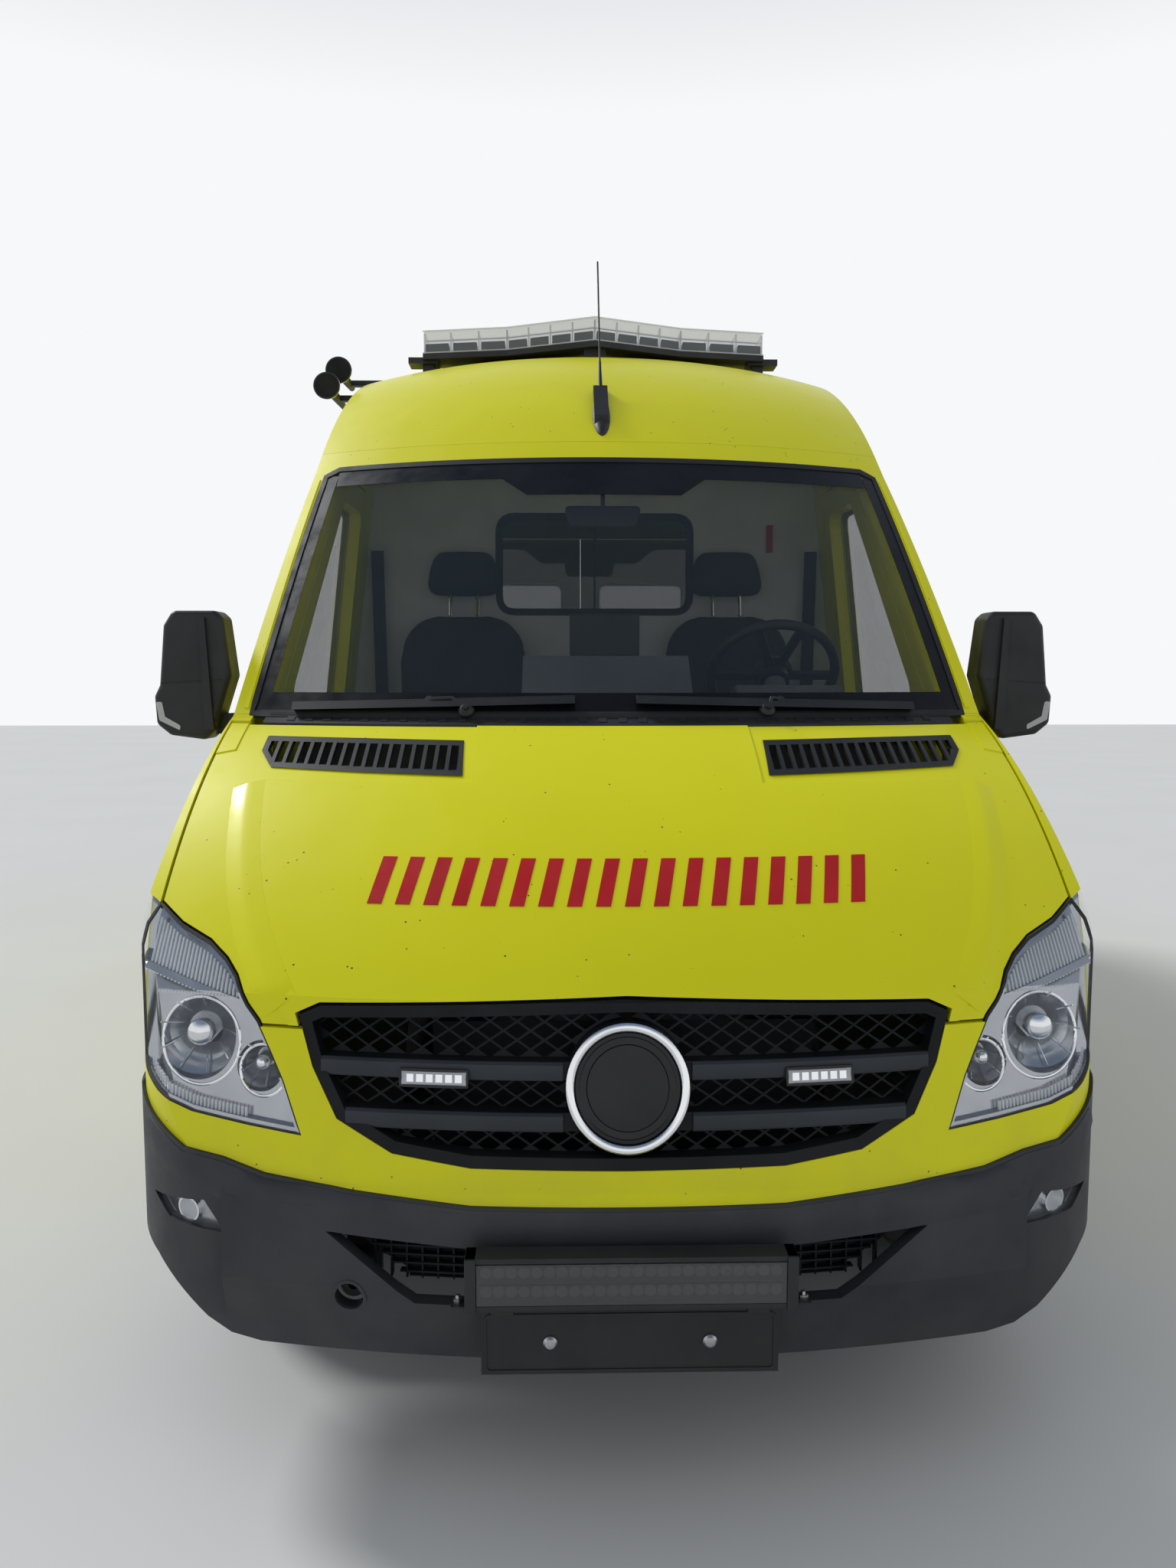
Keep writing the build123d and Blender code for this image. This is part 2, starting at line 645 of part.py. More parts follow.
def front_frame():
    outline = ((600, COWL_REAR_Z), (PILLAR_SPLIT, COWL_REAR_Z), (PILLAR_SPLIT, ROOF_SPLIT_FRONT),
               (600, ROOF_SPLIT_FRONT))
    keep = [side_block(outline, -1100, 1100)]
    flange = front_block(screen_outline(), 500, 1900, -SCREEN_FLANGE)
    pocket = front_block(screen_outline(), 500, 1900, SEAM) - envelope(GLASS_SET_IN + GLASS + SEAM)
    doors = on_both_sides(side_block(DOOR_OUTLINE, 300, 1100, DOOR_GAP))
    with BuildPart() as shape:
        add(BODY_WALL)
        add(keep[0], mode=Mode.INTERSECT)
        add(flange, mode=Mode.SUBTRACT)
        add(pocket, mode=Mode.SUBTRACT)
        for door in doors:
            add(door, mode=Mode.SUBTRACT)
        for side in (-1, 1):
            add(hinge_pillar(side))
            x_from, x_to = sorted((side * (DOOR_HINGE_X - 12), side * DOOR_HINGE_X))
            for z in DOOR_HINGE_HEIGHTS:
                add(box(x_from, x_to, DOOR_HINGE_STATION - 20, DOOR_HINGE_STATION, z, z + HINGE_LENGTH))
                add(hinge_eye(side * DOOR_HINGE_X, DOOR_HINGE_STATION, z))
                bore = rod(HINGE_PIN_RADIUS + RUNNING_FIT, (side * DOOR_HINGE_X, DOOR_HINGE_STATION, z - 1),
                           (side * DOOR_HINGE_X, DOOR_HINGE_STATION, z + HINGE_LENGTH + 1))
                add(bore, mode=Mode.SUBTRACT)
            start = side * (BONNET_HINGE_X + 16)
            end = side * (BONNET_HINGE_X + 32)
            a, b = sorted((start, end))
            add(box(a, b, BONNET_HINGE_STATION, DOOR_HINGE_STATION - 30, BONNET_HINGE_Z - 12, BONNET_HINGE_Z + 12))
            add(rod(12, (start, BONNET_HINGE_STATION, BONNET_HINGE_Z), (end, BONNET_HINGE_STATION, BONNET_HINGE_Z)))
            add(rod(HINGE_PIN_RADIUS + RUNNING_FIT, (side * (BONNET_HINGE_X + 10), BONNET_HINGE_STATION, BONNET_HINGE_Z),
                    (side * (BONNET_HINGE_X + 40), BONNET_HINGE_STATION, BONNET_HINGE_Z)), mode=Mode.SUBTRACT)
    shape.part.label = "front_frame"
    return shape.part


def windscreen():
    blank = envelope(GLASS_SET_IN) - envelope(GLASS_SET_IN + GLASS)
    return piece("windscreen", blank, [front_block(screen_outline(), 500, 1900)])


def roof():
    outline = ((1200, ROOF_SPLIT_FRONT + SEAM), (PILLAR_SPLIT, ROOF_SPLIT_FRONT + SEAM), (PILLAR_SPLIT, ROOF_SPLIT),
               (5900, ROOF_SPLIT), (5900, 3000), (1200, 3000))
    return piece("roof", BODY_WALL, [side_block(outline, -1100, 1100)], [rear_opening()])


def rear_opening():
    half = REAR_DOOR_HALF_WIDTH + SHUT_GAP
    return box(-half, half, BODY_REAR - WALL - 100, BODY_REAR + 100, REAR_DOOR_FOOT - SHUT_GAP, REAR_DOOR_HEAD + SHUT_GAP)


def sliding_outline():
    return ((SLIDING_DOOR_FRONT, SLIDING_DOOR_FOOT), (SLIDING_DOOR_REAR, SLIDING_DOOR_FOOT),
            (SLIDING_DOOR_REAR, SLIDING_DOOR_HEAD), (SLIDING_DOOR_FRONT, SLIDING_DOOR_HEAD))


def rear_hinge_fixed(side, z):
    x = side * REAR_HINGE_X
    station = BODY_REAR + REAR_HINGE_PROUD
    a, b = sorted((x - side * 4, x + side * 56))
    leaf = box(a, b, BODY_REAR - 2, BODY_REAR + 6, z, z + HINGE_LENGTH)
    eye = rod(12, (x, station, z), (x, station, z + HINGE_LENGTH))
    bore = rod(HINGE_PIN_RADIUS + RUNNING_FIT, (x, station, z - 1), (x, station, z + HINGE_LENGTH + 1))
    return (leaf + eye) - bore


def body_side(side):
    outline = ((1460, SILL_FOOT), (1460, 473), (PILLAR_SPLIT + SEAM, 473), (PILLAR_SPLIT + SEAM, ROOF_SPLIT - SEAM),
               (5900, ROOF_SPLIT - SEAM), (5900, SILL_FOOT))
    x_from, x_to = sorted((side * 0.25, side * 1100))
    wheel_from, wheel_to = sorted((side * 500, side * 1100))
    keep = [side_block(outline, x_from, x_to)]
    cuts = [rear_opening(), arch_drum(REAR_AXLE, wheel_from, wheel_to),
            side_block(DOOR_OUTLINE, x_from, x_to, DOOR_GAP)]
    if side < 0:
        cuts.append(side_block(sliding_outline(), x_from, -300, SHUT_GAP))
    else:
        cuts.append(side_block(SIDE_WINDOW, 300, x_to, radius=WINDOW_RADIUS))
    extras = [rear_hinge_fixed(side, z) for z in REAR_HINGE_HEIGHTS if z + HINGE_LENGTH < ROOF_SPLIT]
    name = "body_side_left" if side > 0 else "body_side_right"
    return piece(name, BODY_WALL, keep, cuts, extras)


def sliding_door():
    outer = side_block(sliding_outline(), -1100, -300)
    inner = side_block(sliding_outline(), -1100, -300, SHUT_GAP - SEAM)
    side_window_right = side_block(SIDE_WINDOW, -1100, -300, radius=WINDOW_RADIUS)
    flange = ((envelope(WALL - 15) - INNER) & inner) - side_window_right
    return piece("sliding_door", BODY_WALL, [outer], [side_window_right], [flange])


def bulkhead():
    inside = envelope(WALL + SEAM)
    plate = box(-1000, 1000, BULKHEAD, BULKHEAD + BULKHEAD_THICKNESS, FLOOR_TOP, 2900)
    window = front_block(BULKHEAD_WINDOW, BULKHEAD - 50, BULKHEAD + 100, radius=WINDOW_RADIUS)
    return piece("bulkhead", inside, [plate], [window])


def side_windows():
    left = side_block(SIDE_WINDOW, 300, 1100, -SEAM, WINDOW_RADIUS)
    right = side_block(SIDE_WINDOW, -1100, -300, -SEAM, WINDOW_RADIUS)
    pane = front_block(BULKHEAD_WINDOW, BULKHEAD + 8, BULKHEAD + 14, -SEAM, WINDOW_RADIUS)
    bulkhead_panes = [pane & box(a, b, BULKHEAD, BULKHEAD + 20, 1700, 2200) for a, b in ((-400, -3), (3, 400))]
    with BuildPart() as shape:
        add(PANE_WALL)
        add(left + right, mode=Mode.INTERSECT)
        for pane in bulkhead_panes:
            add(pane)
    shape.part.label = "side_windows"
    return shape.part


# Doors


def door_arm(side, z):
    """Goose-neck leaf that wraps round the rear edge of the wing as the door opens."""
    x, s = DOOR_HINGE_X, DOOR_HINGE_STATION
    path = ((x, s - 8), (x - 80, s - 8), (x - 80, s + 74), (x - 30, s + 126), (x + 14, s + 126), (x + 14, s + 112),
            (x - 24, s + 112), (x - 68, s + 68), (x - 68, s + 8), (x, s + 8))
    return plan_block([(side * px, ps) for px, ps in path], z, z + HINGE_LENGTH)


def door_swing(side):
    """Room for the wing's rear edge to pass inside the door's front edge as the door turns."""
    proud = HALF_WIDTH - DOOR_HINGE_X
    edge = [(math.hypot(proud, s - DOOR_GAP - DOOR_HINGE_STATION) + DOOR_SWING_CLEARANCE, z) for s, z in DOOR_OUTLINE[:3]]
    foot, head = (0, DOOR_OUTLINE[0][1]), (0, DOOR_OUTLINE[5][1] + WALL)
    plane = Plane((side * DOOR_HINGE_X, y_of(DOOR_HINGE_STATION), 0), x_dir=(1, 0, 0), z_dir=(0, -1, 0))
    with BuildPart() as swing:
        with BuildSketch(plane):
            with BuildLine():
                Polyline(foot, *edge, (DOOR_SWING_RADIUS, DOOR_OUTLINE[3][1]), (DOOR_SWING_RADIUS, head[1]), head,
                         close=True)
            make_face()
        revolve(axis=Axis((side * DOOR_HINGE_X, y_of(DOOR_HINGE_STATION), 0), (0, 0, 1)))
    return swing.part


def front_door(side):
    x_from, x_to = sorted((side * 300, side * 1100))
    name = "front_door_left" if side > 0 else "front_door_right"
    with BuildPart() as shape:
        add(BODY_WALL)
        add(side_block(DOOR_OUTLINE, x_from, x_to), mode=Mode.INTERSECT)
        add(side_block(DOOR_WINDOW, x_from, x_to, radius=DOOR_WINDOW_RADIUS), mode=Mode.SUBTRACT)
        add(door_swing(side), mode=Mode.SUBTRACT)
        for z in DOOR_HINGE_HEIGHTS:
            top = z + HINGE_LENGTH + 1
            add(door_arm(side, top))
            add(rod(HINGE_EYE_RADIUS, (side * DOOR_HINGE_X, DOOR_HINGE_STATION, top),
                    (side * DOOR_HINGE_X, DOOR_HINGE_STATION, top + HINGE_LENGTH)))
            add(rod(HINGE_PIN_RADIUS, (side * DOOR_HINGE_X, DOOR_HINGE_STATION, z),
                    (side * DOOR_HINGE_X, DOOR_HINGE_STATION, top + HINGE_LENGTH)))
    shape.part.label = name
    return shape.part


def front_door_glass(side):
    x_from, x_to = sorted((side * 300, side * 1100))
    name = "front_door_glass_left" if side > 0 else "front_door_glass_right"
    return piece(name, PANE_WALL, [side_block(DOOR_WINDOW, x_from, x_to, -SEAM, DOOR_WINDOW_RADIUS)])


def mirror_head(side):
    """Housing with a ridge along its inner third, on an arm from the door's corner."""
    outline = [(side * x, z) for x, z in MIRROR_HEAD]
    ridge = [(side * x, z) for x, z in MIRROR_RIDGE]
    arm = [(side * x, z) for x, z in MIRROR_ARM]
    with BuildPart() as shape:
        add(front_block(outline, MIRROR_FRONT, MIRROR_FRONT + MIRROR_DEPTH, radius=22))
        fillet(shape.faces().sort_by(Axis.Y)[0].edges(), 16)
        add(front_block(ridge, MIRROR_FRONT - 12, MIRROR_FRONT + 30))
        add(front_block(arm, MIRROR_FRONT + 50, MIRROR_FRONT + 88))
        add(SKIN, mode=Mode.SUBTRACT)
    shape.part.label = "mirror_left" if side > 0 else "mirror_right"
    return shape.part


def rear_door(side):
    a, b = sorted((side * REAR_DOOR_CENTRE_GAP, side * REAR_DOOR_HALF_WIDTH))
    leaf = box(a, b, BODY_REAR - WALL, BODY_REAR, REAR_DOOR_FOOT, REAR_DOOR_HEAD)
    outline = [(side * x, z) for x, z in REAR_WINDOW]
    window = front_block(outline, BODY_REAR - 200, BODY_REAR + 100, radius=WINDOW_RADIUS)
    station = BODY_REAR + REAR_HINGE_PROUD
    x = side * REAR_HINGE_X
    with BuildPart() as shape:
        add(leaf)
        add(window, mode=Mode.SUBTRACT)
        for z in REAR_HINGE_HEIGHTS:
            top = z + HINGE_LENGTH + 1
            a, b = sorted((x - side * 16, x - side * 70))
            add(box(a, b, BODY_REAR - 2, BODY_REAR + 8, top, top + HINGE_LENGTH))
            c, d = sorted((x, x - side * 18))
            add(box(c, d, BODY_REAR + 4, BODY_REAR + 8, top, top + HINGE_LENGTH))
            add(rod(12, (x, station, top), (x, station, top + HINGE_LENGTH)))
            add(rod(HINGE_PIN_RADIUS, (x, station, z), (x, station, top + HINGE_LENGTH)))
    shape.part.label = "rear_door_left" if side > 0 else "rear_door_right"
    return shape.part


def rear_door_glass(side):
    name = "rear_door_glass_left" if side > 0 else "rear_door_glass_right"
    outline = [(side * x, z) for x, z in REAR_WINDOW]
    blank = front_block(outline, BODY_REAR - PANE_SET_IN - PANE, BODY_REAR - PANE_SET_IN, -SEAM, WINDOW_RADIUS)
    return piece(name, blank)


# Floor, frame and running gear


def floor_pan():
    load = envelope(WALL + SEAM) & box(-1000, 1000, PILLAR_SPLIT + 10, BODY_REAR, FLOOR_TOP - FLOOR_THICKNESS, FLOOR_TOP)
    cab = envelope(WALL + DOOR_GAP) & box(-1000, 1000, FIREWALL, PILLAR_SPLIT + 10, FLOOR_TOP - FLOOR_THICKNESS, FLOOR_TOP)
    wall = box(-DASH_HALF_WIDTH - 5, DASH_HALF_WIDTH + 5, FIREWALL, FIREWALL + 24, FLOOR_TOP - FLOOR_THICKNESS, 1385)
    rear_gap = box(-REAR_DOOR_HALF_WIDTH - SHUT_GAP, REAR_DOOR_HALF_WIDTH + SHUT_GAP, BODY_REAR - WALL - SHUT_GAP,
                   BODY_REAR, 500, 800)
    cuts = [rear_gap]
    outer = ARCH_RADIUS + WHEELHOUSE_WALL + SEAM
    for side in (-1, 1):
        cuts.append(arch_drum(FRONT_AXLE, side * (WHEELHOUSE_INNER_X - WHEELHOUSE_WALL - SEAM), side * 1100, outer))
        cuts.append(arch_drum(REAR_AXLE, side * (REAR_WHEELHOUSE_INNER_X - WHEELHOUSE_WALL - SEAM), side * 1100, outer))
    return piece("floor_pan", load + cab + wall, [], cuts)


def wheelhouse(station, inner_x, depth, foot):
    outer = arch_drum(station, inner_x - WHEELHOUSE_WALL, 1100, ARCH_RADIUS + WHEELHOUSE_WALL)
    inner = arch_drum(station, inner_x, 1200, ARCH_RADIUS)
    above = box(0, 1200, station - 600, station + 600, ARCH_HEIGHT, 1200)
    inside = envelope(depth + SEAM)
    underside = box(inner_x - WHEELHOUSE_WALL - 1, inner_x, station - 600, station + 600, 0, foot)
    return ((outer - inner) & above & inside) - underside


def wheelhouses():
    front = wheelhouse(FRONT_AXLE, WHEELHOUSE_INNER_X, BUMPER_THICKNESS, ARCH_HEIGHT)
    rear = wheelhouse(REAR_AXLE, REAR_WHEELHOUSE_INNER_X, WALL, 500)
    with BuildPart() as shape:
        for house in (front, rear):
            add(house)
            add(mirror(house, about=Plane.YZ))
    shape.part.label = "wheelhouses"
    return shape.part


CROSS_MEMBERS = (1610, 2100, 2900, 3700, 5300)


def frame_rails():
    rail = box(RAIL_INNER_X, RAIL_OUTER_X, 180, BODY_REAR - WALL - 2, RAIL_TOP - RAIL_DEPTH, RAIL_TOP)
    return piece("frame_rails", rail, extras=[mirror(rail, about=Plane.YZ)])


def cross_members():
    with BuildPart() as shape:
        for s in CROSS_MEMBERS:
            add(box(-840, 840, s - 30, s + 30, RAIL_TOP, FLOOR_TOP - FLOOR_THICKNESS))
        add(box(-RAIL_INNER_X, RAIL_INNER_X, 180, 240, RAIL_TOP - 110, RAIL_TOP - 30))
        add(box(TOW_X - 30, -RAIL_OUTER_X, 180, 200, TOW_Z - 30, RAIL_TOP - 30))
        add(rod(24, (TOW_X, TOW_FACE, TOW_Z), (TOW_X, 190, TOW_Z)))
        add(rod(TOW_RADIUS, (TOW_X, TOW_FACE - 1, TOW_Z), (TOW_X, TOW_FACE + TOW_DEPTH, TOW_Z)), mode=Mode.SUBTRACT)
    shape.part.label = "cross_members"
    return shape.part


def radiator():
    return piece("radiator", box(-380, 380, 240 + SEAM, 300, 430, 860))


def engine():
    with BuildPart() as shape:
        add(box(-260, 260, 340, 900, 420, 980))
        add(box(-150, 150, 900, 1540, 390, 600))
        for side in (-1, 1):
            a, b = sorted((side * 250, side * (RAIL_INNER_X - SEAM)))
            add(box(a, b, 560, 680, 450, 530))
    shape.part.label = "engine"
    return shape.part


def fuel_tank():
    return piece("fuel_tank", box(RAIL_OUTER_X + 20, 840, 2250, 3300, 300, RAIL_TOP - SEAM))


def exhaust():
    with BuildPart() as shape:
        add(rod(110, (-650, 2300, RAIL_TOP - 110 - SEAM), (-650, 3100, RAIL_TOP - 110 - SEAM)))
        add(rod(32, (-650, 1520, 440), (-650, 2300, 440)))
        add(rod(32, (-650, 3100, 440), (-650, 4100, 440)))
    shape.part.label = "exhaust"
    return shape.part


def rear_axle():
    z = TYRE_RADIUS
    with BuildPart() as shape:
        add(rod(50, (-770, REAR_AXLE, z), (770, REAR_AXLE, z)))
        add(rod(STUB_RADIUS, (-885, REAR_AXLE, z), (885, REAR_AXLE, z)))
        add(rod(150, (-110, REAR_AXLE, z), (110, REAR_AXLE, z)))
        add(rod(35, (0, 1540 + 3 * SEAM, 470), (0, REAR_AXLE - 100, 380)))
        for side in (-1, 1):
            a, b = sorted((side * 525, side * 595))
            path = ((-650, 470), (0, 404), (650, 470), (650, 494), (0, 432), (-650, 494))
            add(side_block([(REAR_AXLE + s, z) for s, z in path], a, b))
            c, d = sorted((side * (RAIL_OUTER_X + SEAM), side * 600))
            for end in (-650, 650):
                add(box(c, d, REAR_AXLE + end - 25, REAR_AXLE + end + 25, 464, 540))
    shape.part.label = "rear_axle"
    return shape.part


def front_suspension():
    z = TYRE_RADIUS
    low = z - 132
    high = z + 114
    with BuildPart() as shape:
        add(box(-500, 500, FRONT_AXLE - 60, FRONT_AXLE + 60, 215, 300))
        for side in (-1, 1):
            a, b = sorted((side * 500, side * (KINGPIN_X + 18)))
            add(box(a, b, FRONT_AXLE - 30, FRONT_AXLE + 30, low, low + 24))
            c, d = sorted((side * 640, side * (KINGPIN_X + 18)))
            add(box(c, d, FRONT_AXLE - 22, FRONT_AXLE + 22, high, high + 24))
            roof_z = ARCH_HEIGHT + math.sqrt(ARCH_RADIUS**2 - 45**2) - SEAM
            add(rod(36, (side * 640, FRONT_AXLE, low), (side * 640, FRONT_AXLE, roof_z)))
            add(rod(12, (side * KINGPIN_X, FRONT_AXLE, low + 24), (side * KINGPIN_X, FRONT_AXLE, low + 46)))
            add(rod(12, (side * KINGPIN_X, FRONT_AXLE, high - 22), (side * KINGPIN_X, FRONT_AXLE, high)))
            e, f = sorted((side * 440, side * 470))
            add(box(e, f, FRONT_AXLE - 60, FRONT_AXLE + 60, 290, RAIL_TOP - RAIL_DEPTH))
    shape.part.label = "front_suspension"
    return shape.part


def knuckle(side):
    z = TYRE_RADIUS
    low = z - 132 + 24
    high = z + 114
    x = side * KINGPIN_X
    with BuildPart() as shape:
        a, b = sorted((side * (KINGPIN_X - 28), side * (KINGPIN_X + 32)))
        add(box(a, b, FRONT_AXLE - 34, FRONT_AXLE + 34, low + 1, high - 1))
        add(rod(STUB_RADIUS, (x, FRONT_AXLE, z), (side * 885, FRONT_AXLE, z)))
        for start, end in ((low, low + 24), (high - 24, high)):
            add(rod(12 + RUNNING_FIT, (x, FRONT_AXLE, start), (x, FRONT_AXLE, end)), mode=Mode.SUBTRACT)
    shape.part.label = "knuckle_left" if side > 0 else "knuckle_right"
    return shape.part


def tyre(name, x, station):
    half = TYRE_WIDTH / 2
    with BuildPart() as shape:
        with BuildSketch(Plane((x, y_of(station), TYRE_RADIUS), x_dir=(1, 0, 0), z_dir=(0, -1, 0))):
            with BuildLine():
                Polyline((-82, RIM_RADIUS + 4), (-half + 4, RIM_RADIUS + 22), (-half, 290), (-half + 8, 335),
                         (-half + 30, TYRE_RADIUS - 3), (0, TYRE_RADIUS), (half - 30, TYRE_RADIUS - 3), (half - 8, 335),
                         (half, 290), (half - 4, RIM_RADIUS + 22), (82, RIM_RADIUS + 4), close=True)
            make_face()
        revolve(axis=Axis((x, y_of(station), TYRE_RADIUS), (1, 0, 0)))
    shape.part.label = name
    return shape.part


def rim(name, side, x, station):
    s = side
    with BuildPart() as shape:
        with BuildSketch(Plane((x, y_of(station), TYRE_RADIUS), x_dir=(s, 0, 0), z_dir=(0, -s, 0))):
            with BuildLine():
                Polyline((-82, RIM_RADIUS + 3.5), (-82, RIM_RADIUS - 16), (36, 186), (40, 120), (28, 96), (-18, 80),
                         (-18, STUB_RADIUS + RUNNING_FIT), (32, STUB_RADIUS + RUNNING_FIT), (32, 0), (52, 0), (52, 60),
                         (42, 84), (54, 118), (52, 192), (82, RIM_RADIUS - 8), (82, RIM_RADIUS + 3.5), close=True)
            make_face()
        revolve(axis=Axis((x, y_of(station), TYRE_RADIUS), (1, 0, 0)))
        for i in range(RIM_HOLE_COUNT):
            turn = math.radians(360 * i / RIM_HOLE_COUNT)
            hole_s = station + RIM_HOLE_CIRCLE * math.cos(turn)
            hole_z = TYRE_RADIUS + RIM_HOLE_CIRCLE * math.sin(turn)
            add(rod(RIM_HOLE_RADIUS, (x - 30 * s, hole_s, hole_z), (x + 80 * s, hole_s, hole_z)), mode=Mode.SUBTRACT)
    shape.part.label = name
    return shape.part


def rear_bumper():
    return piece("rear_bumper", box(-960, 960, BODY_REAR + SEAM, BODY_LENGTH, 420, 600))


def rear_lamps():
    block = box(885, 1010, BODY_REAR - 70, BODY_REAR + 10, 950, 1450)
    outer = extrude(body_section(-10), amount=BODY_LENGTH, both=True)
    lamp = piece("rear_lamps", block, [outer], [SKIN])
    return piece("rear_lamps", lamp, extras=[mirror(lamp, about=Plane.YZ)])


# Cab fittings


def dashboard():
    face = ((FIREWALL + 24.5, 900), (1230, 900), (1380, 1080), (1400, 1300), (1440, 1380), (1400, 1430),
            (1000, 1430), (1000, 1386), (FIREWALL + 24.5, 1386))
    pod = ((1000, 1425), (1330, 1425), (1380, 1540), (1350, 1600), (1220, 1600))
    x, s, z = WHEEL_CENTRE
    dy = math.cos(math.radians(STEERING_TILT))
    dz = math.sin(math.radians(STEERING_TILT))
    with BuildPart() as shape:
        add(side_block(face, -DASH_HALF_WIDTH, DASH_HALF_WIDTH))
        add(side_block(pod, -230, 230))
        add(rod(32, (x, s - 260 * dy, z - 260 * dz), (x, s - 45 * dy, z - 45 * dz)))
        add(rod(COLUMN_RADIUS, (x, s - 60 * dy, z - 60 * dz), (x, s - 12 * dy, z - 12 * dz)))
    shape.part.label = "dashboard"
    return shape.part


def steering_wheel():
    x, s, z = WHEEL_CENTRE
    centre = Vector(x, y_of(s), z)
    dy = math.cos(math.radians(STEERING_TILT))
    dz = math.sin(math.radians(STEERING_TILT))
    plane = Plane(centre, x_dir=(1, 0, 0), z_dir=(0, dy, dz))
    with BuildPart(plane) as shape:
        Torus(STEERING_WHEEL_RADIUS - 15, 15)
        with BuildSketch(plane.offset(-40)):
            Circle(45)
        extrude(amount=48)
        with BuildSketch(plane.offset(-14)):
            for angle in (0, 180, 250, 290):
                with PolarLocations(STEERING_WHEEL_RADIUS / 2, 1, angle):
                    Rectangle(STEERING_WHEEL_RADIUS - 40, 24)
        extrude(amount=16)
        with BuildSketch(plane.offset(-41)):
            Circle(COLUMN_RADIUS + RUNNING_FIT)
        extrude(amount=31, mode=Mode.SUBTRACT)
    shape.part.label = "steering_wheel"
    return shape.part


def seats():
    side_view = ((2180, 1060), (2300, 1790), (2200, 1810), (2100, 1090))
    with BuildPart() as shape:
        for x in (-480, 480):
            add(box(x - 200, x + 200, 1780, 2200, FLOOR_TOP, 950))
            add(box(x - 250, x + 250, 1680, 2180, 950, 1090))
            add(side_block(side_view, x - 235, x + 235))
            add(side_block(((2225, 1795), (2262, 1795), (2285, 1860), (2248, 1860)), x - 60, x + 60))
            add(side_block(((2215, 1830), (2300, 1830), (2320, 2000), (2235, 2000)), x - 137, x + 137))
    shape.part.label = "seats"
    return shape.part


# Roof and nose fittings


def driving_light_bar():
    with BuildPart() as shape:
        add(box(-295, 295, -LAMP_BAR_PROUD, -20, 430, 527))
        for x in (-230, 230):
            add(box(x - 20, x + 20, -26, 40, PLATE_TOP + SEAM, 440))
    cut = lower_body(-BUMPER_PROUD)
    bar = piece("driving_light_bar", shape.part, [], [cut])
    return bar


def plate_holder():
    outline = ((-PLATE_PROUD, PLATE_FOOT), (-PLATE_PROUD, PLATE_TOP), (60, PLATE_TOP), (60, PLATE_FOOT))
    holes = [rod(PLATE_HOLE_RADIUS, (x, -30, PLATE_HOLE_Z), (x, -12, PLATE_HOLE_Z)) for x in
             (-PLATE_HOLE_SPACING / 2, PLATE_HOLE_SPACING / 2)]
    return piece("plate_holder", side_block(outline, -270, 270), [], [lower_body(-BUMPER_PROUD)] + holes)


def wipers():
    wall = Pos(0, -20, 8) * SKIN - Pos(0, -SEAM, 0) * envelope(GLASS_SET_IN)
    blades = ((-800, 1468), (-90, 1486)), ((60, 1486), (770, 1468))
    with BuildPart() as shape:
        for (x1, z1), (x2, z2) in blades:
            strip = front_block(((x1, z1 - 7), (x2, z2 - 7), (x2, z2 + 7), (x1, z1 + 7)), 500, 1200)
            add(wall & strip)
    shape.part.label = "wipers"
    return shape.part


def bar_block(low, high, shrink=0):
    """Upright block of the light bar's swept-back plan."""
    front = [(x, s + shrink) for x, s in BAR_FRONT]
    rear = [(x, s + BAR_DEPTH - 2 * shrink) for x, s in reversed(front)]
    half = plan_block(front + rear, low, high) & box(0, BAR_FRONT[-1][0] - shrink, 2000, 3000, low, high)
    return half + mirror(half, about=Plane.YZ)


def roof_light_bar():
    with BuildPart() as bar:
        add(bar_block(BAR_FOOT, BAR_FOOT + BAR_BASE))
        for side in (-1, 1):
            a, b = sorted((side * 590, side * 702))
            add(box(a, b, BAR_FRONT[-1][1] + 20, BAR_FRONT[-1][1] + 110, BAR_FOOT - 10, BAR_FOOT + 12))
            c, d = sorted((side * 610, side * 650))
            add(box(c, d, BAR_FRONT[-1][1] + 40, BAR_FRONT[-1][1] + 90, 2600, BAR_FOOT))
        add(box(-40, 40, BAR_FRONT[0][1] + 40, BAR_FRONT[0][1] + 110, 2600, BAR_FOOT))
        add(SKIN, mode=Mode.SUBTRACT)
    bar.part.label = "roof_light_bar"
    return bar.part


def light_bar_lens():
    with BuildPart() as lens:
        add(bar_block(BAR_FOOT + BAR_BASE + SEAM, BAR_TOP, 4))
        fillet(lens.faces().sort_by(Axis.Z)[-1].edges(), 12)
    lens.part.label = "light_bar_lens"
    return lens.part


def aerial():
    with BuildPart() as shape:
        add(side_block(((1540, 2250), (1700, 2380), (1740, 2440), (1700, 2450), (1560, 2330)), -22, 22))
        add(rod(3, (0, 1690, 2425), (0, AERIAL_TIP[0], AERIAL_TIP[1])))
        add(SKIN, mode=Mode.SUBTRACT)
    shape.part.label = "aerial"
    return shape.part


def horn(x, station, z, length):
    with BuildPart() as shape:
        with BuildSketch(Plane((x, y_of(station), z), x_dir=(1, 0, 0), z_dir=(0, 0, 1))):
            with BuildLine():
                Polyline((0, 0), (48, 0), (30, 40), (18, 120), (12, length), (0, length), close=True)
            make_face()
        revolve(axis=Axis((x, y_of(station), z), (0, 1, 0)))
    return shape.part


def air_horns():
    with BuildPart() as shape:
        for x, station, z, length in HORNS:
            add(horn(x, station, z, length))
            add(box(x - 8, -800, station + 190, station + 220, z - 10, z + 10))
        add(SKIN + Pos(0, 0, SEAM) * SKIN, mode=Mode.SUBTRACT)
    shape.part.label = "air_horns"
    return shape.part


# Hand-in

